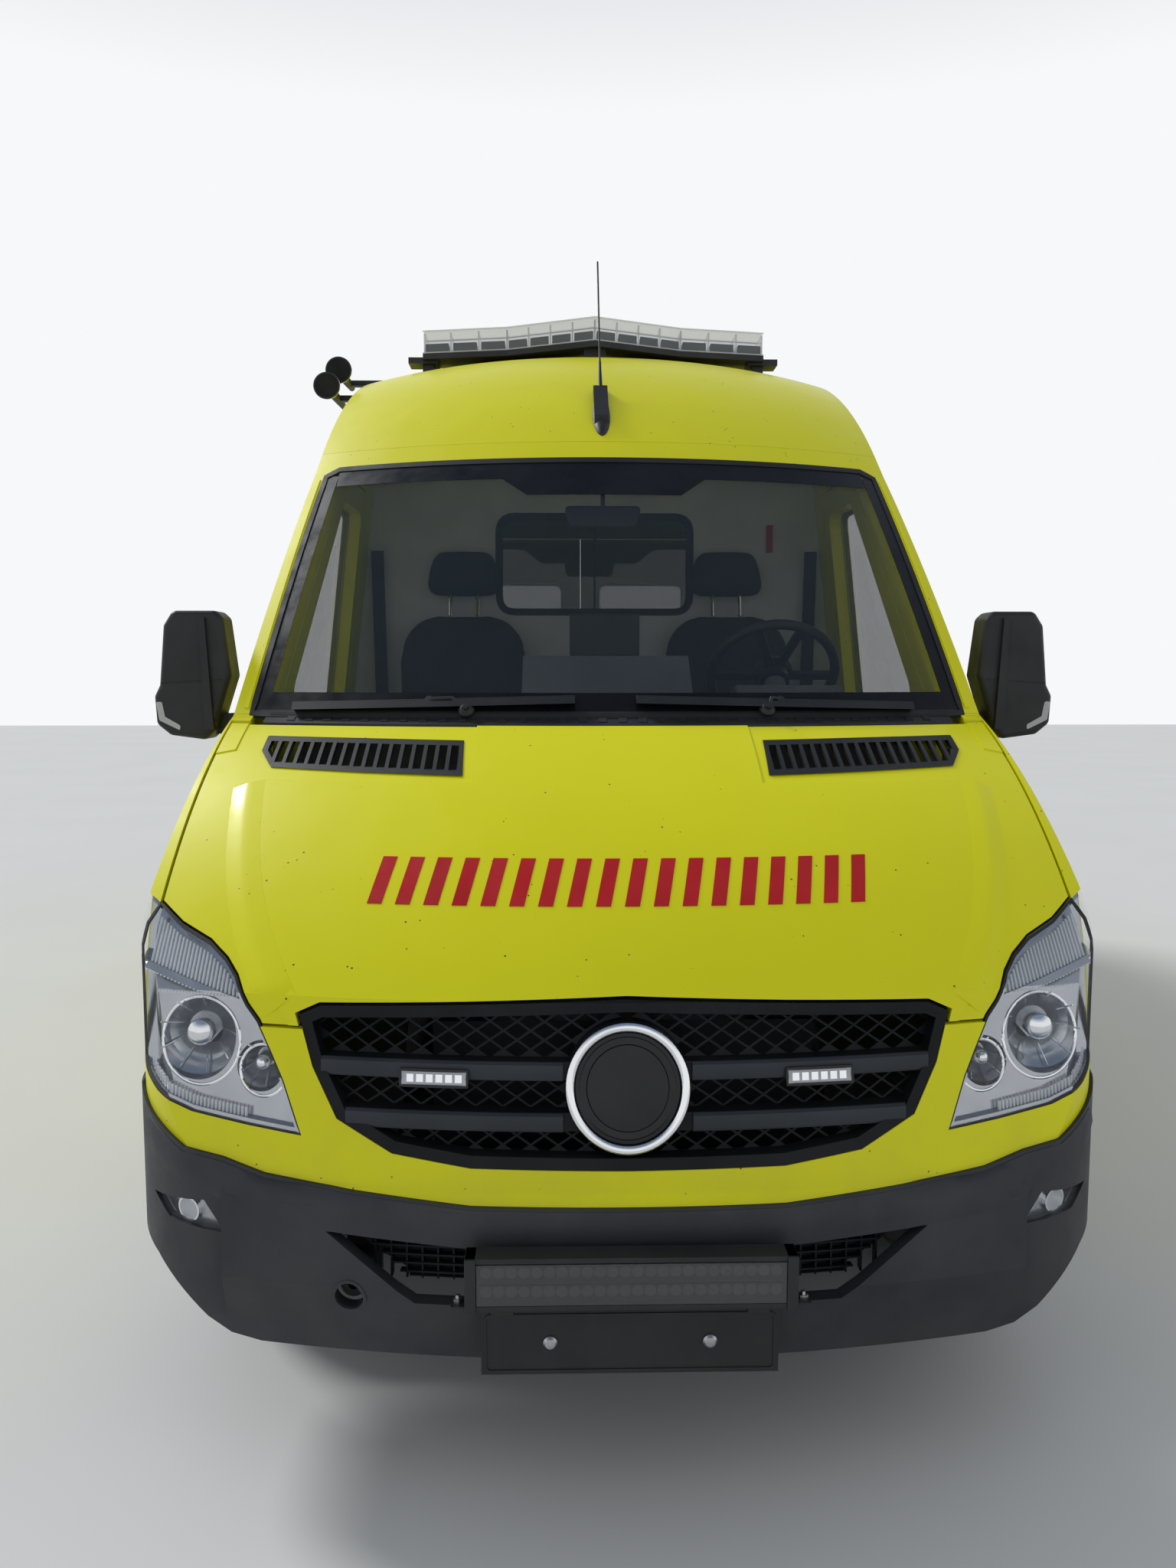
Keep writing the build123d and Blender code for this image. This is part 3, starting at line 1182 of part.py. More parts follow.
for shape in (
    headlamps(), headlamp_lenses(), bonnet(), bonnet_vents(), front_panel(), grille(), nose_lamps(),
    light_bar_lens(), front_bumper(), front_wings(), cowl(), front_frame(),
    windscreen(), roof(), body_side(1), body_side(-1), sliding_door(), bulkhead(), side_windows(),
    floor_pan(), wheelhouses(), frame_rails(), cross_members(), radiator(), engine(), fuel_tank(), exhaust(), rear_axle(),
    front_suspension(), rear_bumper(), rear_lamps(), dashboard(), steering_wheel(), seats(),
    driving_light_bar(), plate_holder(), wipers(), roof_light_bar(), aerial(), air_horns(),
):
    hand_in(shape)

for side in (-1, 1):
    for maker in (front_door, front_door_glass, mirror_head, rear_door, rear_door_glass, knuckle):
        hand_in(maker(side))
    end = "left" if side > 0 else "right"
    for axle, station in (("front", FRONT_AXLE), ("rear", REAR_AXLE)):
        hand_in(tyre("tyre_" + axle + "_" + end, side * WHEEL_X, station))
        hand_in(rim("rim_" + axle + "_" + end, side, side * WHEEL_X, station))
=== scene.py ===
from math import ceil, cos, hypot, pi, radians, sin, sqrt, tan

import bmesh
import bpy
from mathutils import Matrix, Vector


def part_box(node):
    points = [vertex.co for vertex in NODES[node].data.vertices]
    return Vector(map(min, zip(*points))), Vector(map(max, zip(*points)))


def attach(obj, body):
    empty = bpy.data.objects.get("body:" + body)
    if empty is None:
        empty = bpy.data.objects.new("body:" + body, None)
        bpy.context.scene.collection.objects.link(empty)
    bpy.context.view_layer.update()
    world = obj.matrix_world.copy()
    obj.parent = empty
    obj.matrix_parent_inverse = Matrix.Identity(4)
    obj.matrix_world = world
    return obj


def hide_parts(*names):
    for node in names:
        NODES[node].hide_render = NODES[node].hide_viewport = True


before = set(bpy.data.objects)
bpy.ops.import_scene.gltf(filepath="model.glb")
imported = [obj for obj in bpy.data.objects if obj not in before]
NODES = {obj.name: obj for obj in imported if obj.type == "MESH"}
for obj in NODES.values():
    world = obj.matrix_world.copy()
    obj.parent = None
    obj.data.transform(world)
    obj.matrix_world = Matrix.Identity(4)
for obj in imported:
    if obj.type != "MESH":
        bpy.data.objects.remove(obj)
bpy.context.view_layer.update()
ROOT = "vehicle"
SIDES = (1, -1)
ENDS = ((1, "left"), (-1, "right"))
FORWARD = (0, -1, 0)
UP = (0, 0, 1)

# Skin of the vehicle in metres, as the solids have it: stations behind the nose, half widths and heights
FRONT_Y = -2.9175
SWEEP = 3.3
LOWER_NOSE = ((0.045, 0.25), (0.035, 0.29), (0.0, 0.42), (0.004, 0.57), (0.024, 0.6), (0.105, 0.935))
NOSE_ARCS = (
    ((0.105, 0.935), (0.415, 1.238), (0.78, 1.444)),
    ((0.78, 1.444), (1.088, 1.814), (1.42, 2.162)),
    ((1.42, 2.162), (2.031, 2.602), (2.743, 2.751)),
)
BODY_SIDE = ((0.95, 0.2), (0.975, 0.42), (0.993, 0.75), (0.99, 1.1), (0.964, 1.45), (0.878, 2.2),
             (0.848, 2.56))
HALF_WIDTH = 0.993
CORNER_RADIUS = 0.3
BODY_REAR = 5.83
SLOPE_STEP = 0.002

# Places on the nose in front view
SCREEN_OUTLINE = ((0.914, 1.45), (0.842, 2.15), (0.8, 2.172))
FRIT = (-0.0018, -0.001)
BUMPER_LINE = ((0, 0.58), (0.29, 0.58), (0.515, 0.596), (0.683, 0.614), (0.767, 0.636), (0.847, 0.647),
               (0.933, 0.688))
BUMPER_EDGE = ((0.006, 0.004), (0.004, 0.0095), (-0.012, 0.0125), (-0.036, 0.0118), (-0.062, 0.008),
               (-0.064, 0.004))
BADGE_Z = 0.783
RING_RADIUS = 0.1085
BADGE_DISC = ((0.098, -0.011), (0.098, -0.004), (0.092, -0.0035), (0.09, -0.0052), (0.078, -0.0052),
              (0.076, -0.003), (0.04, -0.0012), (0.004, -0.0008))
SLATS = ((0.722, 0.53), (0.812, 0.58))
SLAT_START = 0.121
SLAT_FACE = ((-0.0165, -0.008), (-0.0165, -0.0052), (-0.012, -0.0022), (0.004, 0.0006), (0.011, 0.0014),
             (0.0165, -0.003), (0.0165, -0.008))
STROBE = (0.783, 0.811, 0.299, 0.425)
LAMP_OUTLINE = ((0.615, 0.684), (0.653, 0.779), (0.681, 0.833), (0.709, 0.884), (0.733, 0.912), (0.762, 0.96),
                (0.788, 0.986), (0.831, 1.014), (0.901, 1.04), (0.96, 1.075), (0.978, 1.04), (0.978, 0.775),
                (0.96, 0.758), (0.917, 0.736), (0.837, 0.711), (0.723, 0.696))
LAMP_TOP = ((0.912, 0.733), (0.96, 0.762), (0.986, 0.788), (1.014, 0.831), (1.04, 0.901), (1.075, 0.966))
LAMP_FOOT = ((0.684, 0.615), (0.696, 0.723), (0.711, 0.837), (0.736, 0.917), (0.758, 0.96), (0.775, 0.978))
LAMP_BOWLS = ((0.841, 0.841, 0.082), (0.707, 0.795, 0.048))
WIPERS = (
    ("wiper_right", (-0.8, 1.468), (-0.09, 1.486), (-0.353, 1.455)),
    ("wiper_left", (0.77, 1.468), (0.06, 1.486), (0.38, 1.457)),
)
CREASE = ((0.668, 0.912), (0.7, 0.955), (0.755, 1.04), (0.8, 1.142), (0.826, 1.23), (0.842, 1.3))
CREASE_SECTION = ((-0.034, -0.0066), (-0.034, -0.0031), (-0.014, -0.0012), (-0.004, 0.0012), (0.006, 0.0017),
                  (0.018, 0.0012), (0.042, 0.0001), (0.042, -0.003))
LAMP_PITCH = 0.0085
LAMP_RIBS = 26
LAMP_DOTS = 30
LAMP_FLUTES = 30
BOWL_SPOKES = 9
STROBE_CELLS = 6
COWL_SLOTS = 34
FOG_CENTRE = (0.847, 0.52)
FOG_PLATE = ((0.77, 0.4945), (0.886, 0.4975), (0.927, 0.5305), (0.808, 0.5495))
FOG_FLUTES = 22
LATTICE_ROWS = 7
LATTICE_COLUMNS = 33
LATTICE_WIDTH = 0.0035
TOW_HOLE = (-0.517, 0.402)
PLATE_FACE = FRONT_Y - 0.026
PLATE_TOP = 0.406
PLATE_BOLT = (0.145, 0.345)
BAR_Z = (0.43, 0.527)
BAR_WALL = 0.01
BAR_BRACKET_BACK = -2.879
BAR_CELLS = 24
BAR_RIBS = 5
MARK_COUNT = 18
MARK_LEFT = -0.515
MARK_PITCH = 0.0575
MARK_WIDTH = 0.03
MARK_LEAN = 0.022
MARK_LOW = 1.09
MARK_HIGH = 1.172

# Places on the roof, sides and wheels
ROOF_BAR = ((0.0, 2.29), (0.325, 2.425), (0.645, 2.48))
ROOF_BAR_Z = (2.7535, 2.838)
AERIAL_Z = 2.335
WHIP = ((1.69, 2.425), (2.0, 2.925))
HORN_MOUTHS = ((-0.973, 2.3, 2.59), (-0.94, 2.36, 2.66))
SIDE_STRIPS = {
    "left": ((2.225, 4.33), (5.01, 5.8)),
    "right": ((2.225, 2.44), (2.47, 3.73), (3.76, 4.33), (5.01, 5.8)),
}
STRIP_Z = 0.7
STEP_BARS = 60
RUB_STRIP = (0.09, -0.001, 0.006)
GLASS_SEAL = (0.022, -0.014, 0.002)
AXLES = (("front", 1.004), ("rear", 4.669))
WHEEL_X = 0.855
WHEEL_Z = 0.356
TREAD_ROWS = ((-0.088, 0.028, 0.0), (-0.05, 0.024, 0.5), (-0.012, 0.024, 0.0), (0.026, 0.024, 0.5),
              (0.062, 0.028, 0.0))
TREAD_COUNT = 44
WHEEL_NUTS = 6
TYRE_HALF = ((-0.082, 0.207), (-0.112, 0.222), (-0.1172, 0.262), (-0.1165, 0.3), (-0.108, 0.33),
             (-0.092, 0.345))
TYRE_CROWN = (0.0, 0.3475)

# Places in the cab
VENT_SLATS = 5
CLOTH_FRAMES = 20
SEAT_X = 0.48
SEAT_BASE = ((1.69, 0.975), (1.72, 1.075), (2.12, 1.085), (2.17, 0.965))
BACK_HALF = ((0.222, 1.1), (0.245, 1.35), (0.246, 1.6), (0.225, 1.7), (0.17, 1.76), (0.1, 1.778))
BACK_LEAN = (((2.115, 1.1), (2.19, 1.775)), ((2.235, 1.1), (2.275, 1.775)))
HEAD_HALF = ((0.12, 1.836), (0.134, 1.87), (0.118, 1.95), (0.096, 1.993))
HEAD_LEAN = (((2.222, 1.838), (2.24, 1.992)), ((2.298, 1.838), (2.306, 1.992)))
SEAM = ((2.112, 1.13), (2.135, 1.35), (2.165, 1.56), (2.19, 1.72))
BELT = ((0.8, 2.3, 2.0), (0.79, 2.29, 1.5), (0.78, 2.25, 0.98))

# Where the light lining begins: behind a station, above the floor, on faces that look inwards or down
LINING_START = FRONT_Y + 2.36
LINING_FACING = (-0.3, -0.5)
LINING_FOOT = (0.66, 0.67)
LINING_CEILING = (2.2, 2.25)

# Light and camera
WORLD_LIGHT = 0.62
KEY_LIGHT = 2.1
KEY_SPREAD = 14
KEY_TILT = 50
KEY_TURN = -128
CAMERA_PLACE = (-0.12, FRONT_Y - 2.0, 1.55)
CAMERA_YAW = radians(1.26)
CAMERA_PITCH = radians(5.48)
CAMERA_LENS = 26.37


def circle_through(a, b, c):
    (ax, ay), (bx, by), (cx, cy) = a, b, c
    d = 2 * (ax * (by - cy) + bx * (cy - ay) + cx * (ay - by))
    a2, b2, c2 = ax * ax + ay * ay, bx * bx + by * by, cx * cx + cy * cy
    ux = (a2 * (by - cy) + b2 * (cy - ay) + c2 * (ay - by)) / d
    uy = (a2 * (cx - bx) + b2 * (ax - cx) + c2 * (bx - ax)) / d
    return ux, uy, hypot(ax - ux, ay - uy)


NOSE_CIRCLES = [circle_through(*arc) for arc in NOSE_ARCS]


def between(table, value):
    """The first column of a table at a value of its second column, in straight runs."""
    for (a, low), (b, high) in zip(table, table[1:]):
        if value <= high:
            return a + (b - a) * (value - low) / (high - low)
    return table[-1][0]


def centre_station(z):
    if z <= LOWER_NOSE[-1][1]:
        return between(LOWER_NOSE, max(z, LOWER_NOSE[0][1]))
    for arc, (cs, cz, radius) in zip(NOSE_ARCS, NOSE_CIRCLES):
        if z <= arc[2][1]:
            return cs - sqrt(radius**2 - (z - cz) ** 2)
    return NOSE_ARCS[-1][2][0]


def front_station(x, z):
    sweep = SWEEP - centre_station(z)
    nose = SWEEP - sqrt(sweep**2 - x * x)
    centre_x = HALF_WIDTH - CORNER_RADIUS
    outer = SWEEP - LOWER_NOSE[4][0] - CORNER_RADIUS
    centre_s = SWEEP - sqrt(outer**2 - centre_x**2)
    beyond = min(abs(x) - centre_x, CORNER_RADIUS)
    if abs(x) < centre_x * (1 + CORNER_RADIUS / outer):
        return nose
    return max(nose, centre_s - sqrt(CORNER_RADIUS**2 - beyond**2))


# Surfaces: each gives a point from two places on it and a distance outwards


def skin(x, z, out=0.0):
    """Front of the vehicle, from a place in front view."""
    step = SLOPE_STEP
    slope_x = (front_station(x + step, z) - front_station(x - step, z)) / (2 * step)
    slope_z = (front_station(x, z + step) - front_station(x, z - step)) / (2 * step)
    normal = Vector((slope_x, -1, slope_z)).normalized()
    return Vector((x, FRONT_Y + front_station(x, z), z)) + normal * out


def flank(side):
    """One side of the body, from station and height."""
    def place(station, z, out=0.0):
        step = SLOPE_STEP
        slope = (between(BODY_SIDE, z + step) - between(BODY_SIDE, z - step)) / (2 * step)
        normal = Vector((side, 0, -slope)).normalized()
        return Vector((side * between(BODY_SIDE, z), FRONT_Y + station, z)) + normal * out
    return place


def upright(y):
    """Upright plane across the vehicle that faces forwards."""
    def place(x, z, out=0.0):
        return Vector((x, y - out, z))
    return place


def rear_face(x, z, out=0.0):
    return Vector((x, FRONT_Y + BODY_REAR + out, z))


# Materials


YELLOW = (0.74, 0.72, 0.001)
YELLOW_SHADE = (0.68, 0.64, 0.001)
LINING = (0.6, 0.61, 0.6)
DUST = (0.16, 0.14, 0.11)
CHIPPED = (0.08, 0.07, 0.04)


def feed(owner, node, inputs):
    """Gives each input of a shader node a value, or a link from another node's output."""
    for socket, value in inputs.items():
        if isinstance(value, bpy.types.NodeSocket):
            owner.node_tree.links.new(value, node.inputs[socket])
        else:
            node.inputs[socket].default_value = value


def add_node(owner, kind, inputs, **values):
    """Shader node in the tree of a material or the world."""
    node = owner.node_tree.nodes.new(kind)
    for key, value in values.items():
        setattr(node, key, value)
    feed(owner, node, inputs)
    return node


def shader_of(material):
    return material.node_tree.nodes["Principled BSDF"]


def new_material(name, colour, roughness, metallic=0.0, **sockets):
    material = bpy.data.materials.new(name)
    material.use_nodes = True
    inputs = {"Base Color": (*colour, 1), "Roughness": roughness, "Metallic": metallic}
    inputs.update((socket.replace("_", " "), value) for socket, value in sockets.items())
    feed(material, shader_of(material), inputs)
    return material


def place_of(owner, output="Object"):
    return add_node(owner, "ShaderNodeTexCoord", {}).outputs[output]


def axes_of(owner, output="Object"):
    return add_node(owner, "ShaderNodeSeparateXYZ", {"Vector": place_of(owner, output)}).outputs


def noise_of(material, scale, detail=4.0, roughness=0.55):
    inputs = {"Vector": place_of(material), "Scale": scale, "Detail": detail, "Roughness": roughness}
    return add_node(material, "ShaderNodeTexNoise", inputs).outputs["Fac"]


def spread(material, value, low, high, to_low=0.0, to_high=1.0):
    inputs = {"Value": value, "From Min": low, "From Max": high, "To Min": to_low, "To Max": to_high}
    return add_node(material, "ShaderNodeMapRange", inputs).outputs["Result"]


def combine(owner, a, b, operation="MULTIPLY"):
    return add_node(owner, "ShaderNodeMath", {0: a, 1: b}, operation=operation).outputs["Value"]


def tint(material, factor, colour):
    """Lays another colour over the base colour where the factor says."""
    base = shader_of(material).inputs["Base Color"]
    under = base.links[0].from_socket if base.is_linked else base.default_value
    inputs = {"Factor": factor, "A": under, "B": (*colour, 1)}
    mix = add_node(material, "ShaderNodeMix", inputs, data_type="RGBA")
    feed(material, shader_of(material), {"Base Color": mix.outputs["Result"]})


def mottle(material, scale, colour, amount):
    """Slow unevenness of colour."""
    tint(material, spread(material, noise_of(material, scale), 0.35, 0.7, 0, amount), colour)


def grain(material, scale, depth):
    """Moulded grain, orange peel or cast skin as fine bump."""
    inputs = {"Strength": 1.0, "Distance": depth, "Height": noise_of(material, scale, 2.0, 0.5)}
    bump = add_node(material, "ShaderNodeBump", inputs)
    feed(material, shader_of(material), {"Normal": bump.outputs["Normal"]})


def uneven_gloss(material, scale, low, high):
    gloss = spread(material, noise_of(material, scale), 0.3, 0.7, low, high)
    feed(material, shader_of(material), {"Roughness": gloss})


def road_dust(material, top, amount):
    """Road film that fades with height."""
    height = spread(material, axes_of(material)["Z"], 0.1, top, 1, 0)
    patches = spread(material, noise_of(material, 6, 6), 0.3, 0.75, 0, amount)
    tint(material, combine(material, height, patches), DUST)


def stone_chips(material, scale, size):
    """Small dark chips, spaced at random."""
    cells = add_node(material, "ShaderNodeTexVoronoi", {"Vector": place_of(material), "Scale": scale})
    dots = spread(material, cells.outputs["Distance"], size, size * 1.6, 1, 0)
    rare = spread(material, noise_of(material, scale * 0.35, 1), 0.62, 0.66, 0, 1)
    tint(material, combine(material, dots, rare), CHIPPED)


def paint(name):
    coat = {"Coat_Weight": 0.14, "Coat_Roughness": 0.1}
    material = new_material(name, YELLOW, 0.42, Specular_IOR_Level=0.22, **coat)
    mottle(material, 1.7, YELLOW_SHADE, 0.35)
    road_dust(material, 1.0, 0.35)
    stone_chips(material, 55, 0.09)
    uneven_gloss(material, 9, 0.36, 0.48)
    grain(material, 260, 0.00006)
    return material


def lined_paint(name):
    """Paint outside and light lining on the faces that look inwards behind the bulkhead."""
    material = paint(name)
    normal = axes_of(material, "Normal")
    place = axes_of(material)
    sideways = spread(material, combine(material, normal["X"], place["X"]), *LINING_FACING)
    down = spread(material, normal["Z"], *LINING_FACING)
    ceiling = combine(material, down, spread(material, place["Z"], *LINING_CEILING))
    facing = combine(material, sideways, ceiling, "MAXIMUM")
    behind = spread(material, place["Y"], LINING_START, LINING_START + 0.01)
    above = spread(material, place["Z"], *LINING_FOOT)
    tint(material, combine(material, combine(material, facing, behind), above), LINING)
    return material


def plastic(name, colour, roughness=0.6, scale=900, depth=0.00012, dust=0.25, shine=0.35):
    material = new_material(name, colour, roughness, Specular_IOR_Level=shine)
    pale = tuple(min(1, c * 1.7 + 0.01) for c in colour)
    mottle(material, 5, pale, 0.35)
    if dust:
        road_dust(material, 0.9, dust)
    uneven_gloss(material, 14, roughness - 0.08, roughness + 0.1)
    grain(material, scale, depth)
    return material


def metal(name, colour, roughness, depth=0.00005, scale=500):
    material = new_material(name, colour, roughness, 1.0)
    mottle(material, 8, tuple(c * 0.7 for c in colour), 0.4)
    uneven_gloss(material, 20, max(0.02, roughness - 0.06), roughness + 0.1)
    if depth:
        grain(material, scale, depth)
    return material


def glass(name, colour, alpha, roughness=0.02):
    coat = {"Coat_Weight": 1.0, "Coat_Roughness": 0.02}
    material = new_material(name, colour, roughness, Alpha=alpha, IOR=1.52, **coat)
    mottle(material, 3, tuple(c * 1.4 + 0.01 for c in colour), 0.3)
    return material


def tinted_lens(name, colour):
    material = new_material(name, colour, 0.15, Coat_Weight=1.0)
    mottle(material, 12, tuple(c * 0.6 for c in colour), 0.5)
    grain(material, 480, 0.00004)
    return material


M = {
    "yellow": paint("paint_yellow"),
    "lined": lined_paint("paint_lined"),
    "bumper": plastic("plastic_bumper", (0.024, 0.026, 0.032), 0.55, 1100, 0.0002, 0.2),
    "black": plastic("plastic_black", (0.014, 0.015, 0.016), 0.5, 1200, 0.00012, 0.1),
    "grille": plastic("plastic_grille", (0.006, 0.007, 0.009), 0.42, 1400, 0.00006, 0.05, 0.15),
    "screen": glass("glass_screen", (0.02, 0.03, 0.032), 0.22),
    "window": glass("glass_window", (0.015, 0.02, 0.022), 0.45),
    "lens": glass("lens_clear", (0.6, 0.64, 0.68), 0.045),
    "bar_lens": glass("lens_bar", (0.22, 0.24, 0.26), 0.34, 0.06),
    "smoked": glass("lens_smoked", (0.035, 0.038, 0.042), 0.62, 0.05),
    "amber": tinted_lens("lens_amber", (0.62, 0.2, 0.01)),
    "frit": plastic("enamel_black", (0.004, 0.004, 0.005), 0.3, 900, 0.00002, 0, 0.2),
    "red_film": plastic("film_red", (0.44, 0.004, 0.006), 0.38, 600, 0.00003, 0),
    "grille_gloss": plastic("plastic_gloss", (0.005, 0.005, 0.006), 0.22, 900, 0.00002, 0),
    "slat_lip": plastic("plastic_slat", (0.02, 0.024, 0.03), 0.4, 1400, 0.00005, 0.1),
    "housing": metal("plastic_silvered", (0.4, 0.42, 0.45), 0.17, 0.00003, 900),
    "ribs": glass("lens_ribbed", (0.7, 0.73, 0.76), 0.55, 0.1),
    "mirror": metal("glass_silvered", (0.88, 0.89, 0.9), 0.03, 0),
    # Matte near-black used as painted shade: it fills the horn mouths and the space behind the intake
    # lattice.
    "painted_shade": plastic("horn_inside", (0.004, 0.004, 0.004), 0.8, 900, 0.0001, 0),
    "bolt": metal("metal_bolt", (0.45, 0.45, 0.47), 0.3, 0.0001, 400),
    "red_lens": tinted_lens("lens_red", (0.45, 0.01, 0.01)),
    "frame": plastic("coating_frame", (0.011, 0.011, 0.012), 0.55, 300, 0.0003, 0.35),
    "iron": metal("metal_iron", (0.12, 0.115, 0.11), 0.6, 0.0004, 220),
    "alloy": metal("metal_alloy", (0.5, 0.5, 0.52), 0.42, 0.0002, 300),
    "wheel": metal("paint_wheel", (0.52, 0.53, 0.55), 0.36, 0.00008, 700),
    "chrome": metal("metal_chrome", (0.85, 0.86, 0.88), 0.06, 0),
    "tyre": plastic("rubber_tyre", (0.022, 0.022, 0.022), 0.78, 700, 0.0003, 0.7),
    "rubber": plastic("rubber_seal", (0.012, 0.012, 0.013), 0.62, 900, 0.0001, 0.1),
    "trim": plastic("plastic_trim", (0.085, 0.09, 0.1), 0.62, 900, 0.0002, 0),
    "panel": plastic("panel_light", (0.7, 0.71, 0.69), 0.55, 400, 0.0001, 0),
    "floor": plastic("floor_vinyl", (0.16, 0.17, 0.18), 0.6, 250, 0.0002, 0),
    "fabric": plastic("fabric_seat", (0.03, 0.032, 0.038), 0.9, 1600, 0.0006, 0),
    "exhaust": metal("metal_exhaust", (0.32, 0.29, 0.26), 0.45, 0.0002, 120),
}

# Nodes that aren't yellow, by the start of their names: the last line that fits decides
FINISHES = {
    "lined": "body_side roof sliding_door",
    "black": "cowl wheelhouses fuel_tank steering_wheel driving_light_bar plate_holder wipers "
             "roof_light_bar aerial air_horns mirror bonnet_vents",
    "bumper": "front_bumper rear_bumper",
    "grille": "grille radiator",
    "screen": "windscreen",
    "window": "side_windows front_door_glass rear_door_glass",
    "housing": "headlamps",
    "lens": "headlamp_lens",
    "ribs": "nose_lamps",
    "bar_lens": "light_bar_lens",
    "red_lens": "rear_lamps",
    "panel": "bulkhead",
    "floor": "floor_pan",
    "trim": "dashboard",
    "fabric": "seats",
    "alloy": "engine",
    "exhaust": "exhaust",
    "frame": "rear_axle front_suspension frame_rails cross_members",
    "iron": "knuckle",
    "tyre": "tyre",
    "wheel": "rim",
}


def dress_nodes():
    for name, node in NODES.items():
        key = "yellow"
        for finish, starts in FINISHES.items():
            if name.startswith(tuple(starts.split())):
                key = finish
        node.data.materials.clear()
        node.data.materials.append(M[key])


# Paths and outlines


def at(x, station, z):
    """Point at a station behind the nose."""
    return (x, FRONT_Y + station, z)


def sided(side, points):
    """Points in front view, on one side of the middle line."""
    return [(side * x, z) for x, z in points]


def mirrored(half):
    """Whole outline from its right half, which starts and ends near the middle line."""
    return list(half) + sided(-1, reversed(half))


def standing(outline, y):
    """Points of an outline in front view, in an upright plane."""
    return [(x, y, z) for x, z in outline]


def level(half, z):
    return [(-half, z), (half, z)]


def oblong(x0, z0, x1, z1):
    return [(x0, z0), (x1, z0), (x1, z1), (x0, z1)]


def turns(steps):
    """Angles in equal steps round a full circle."""
    return [2 * pi * k / steps for k in range(steps)]


def circle(centre, radius, steps=64):
    return [(centre[0] + radius * cos(a), centre[1] + radius * sin(a)) for a in turns(steps)]


def curve(start, corner, end, t):
    """Point of a curve that leaves and arrives along the two lines to its corner."""
    return tuple(start * (1 - t) ** 2 + corner * 2 * t * (1 - t) + end * t * t)


def rounded(points, radius, steps=5):
    """Closed outline with its corners turned into arcs."""
    result = []
    count = len(points)
    for i in range(count):
        before, corner, after = (Vector(points[(i + k) % count]) for k in (-1, 0, 1))
        to_before, to_after = (before - corner).normalized(), (after - corner).normalized()
        half = to_before.angle(to_after) / 2
        reach = min(radius / tan(half), (before - corner).length * 0.45, (after - corner).length * 0.45)
        start, end = corner + to_before * reach, corner + to_after * reach
        result += [curve(start, corner, end, k / steps) for k in range(steps + 1)]
    return result


def flowing(points, steps=6):
    """Open path with its corners turned into long curves."""
    points = [Vector(p) for p in points]
    middles = [points[0]] + [a.lerp(b, 0.5) for a, b in zip(points[1:-2], points[2:-1])] + [points[-1]]
    result = [tuple(points[0])]
    for start, corner, end in zip(middles, points[1:-1], middles[1:]):
        result += [curve(start, corner, end, k / steps) for k in range(1, steps + 1)]
    return result


def dense(path, step=0.03, closed=False):
    """Path with extra points, so that it can follow a curved surface."""
    ends = path + path[:1] if closed else path
    result = []
    for a, b in zip(ends, ends[1:]):
        a, b = Vector(a), Vector(b)
        count = max(1, ceil((b - a).length / step))
        result += [tuple(a.lerp(b, k / count)) for k in range(count)]
    return result if closed else result + [tuple(ends[-1])]


def direction_at(path, i, closed):
    """Direction of a path at one of its points."""
    before = path[i - 1] if i or closed else path[i]
    after = path[(i + 1) % len(path)] if i < len(path) - 1 or closed else path[i]
    return (Vector(after) - Vector(before)).normalized()


# Mesh kit


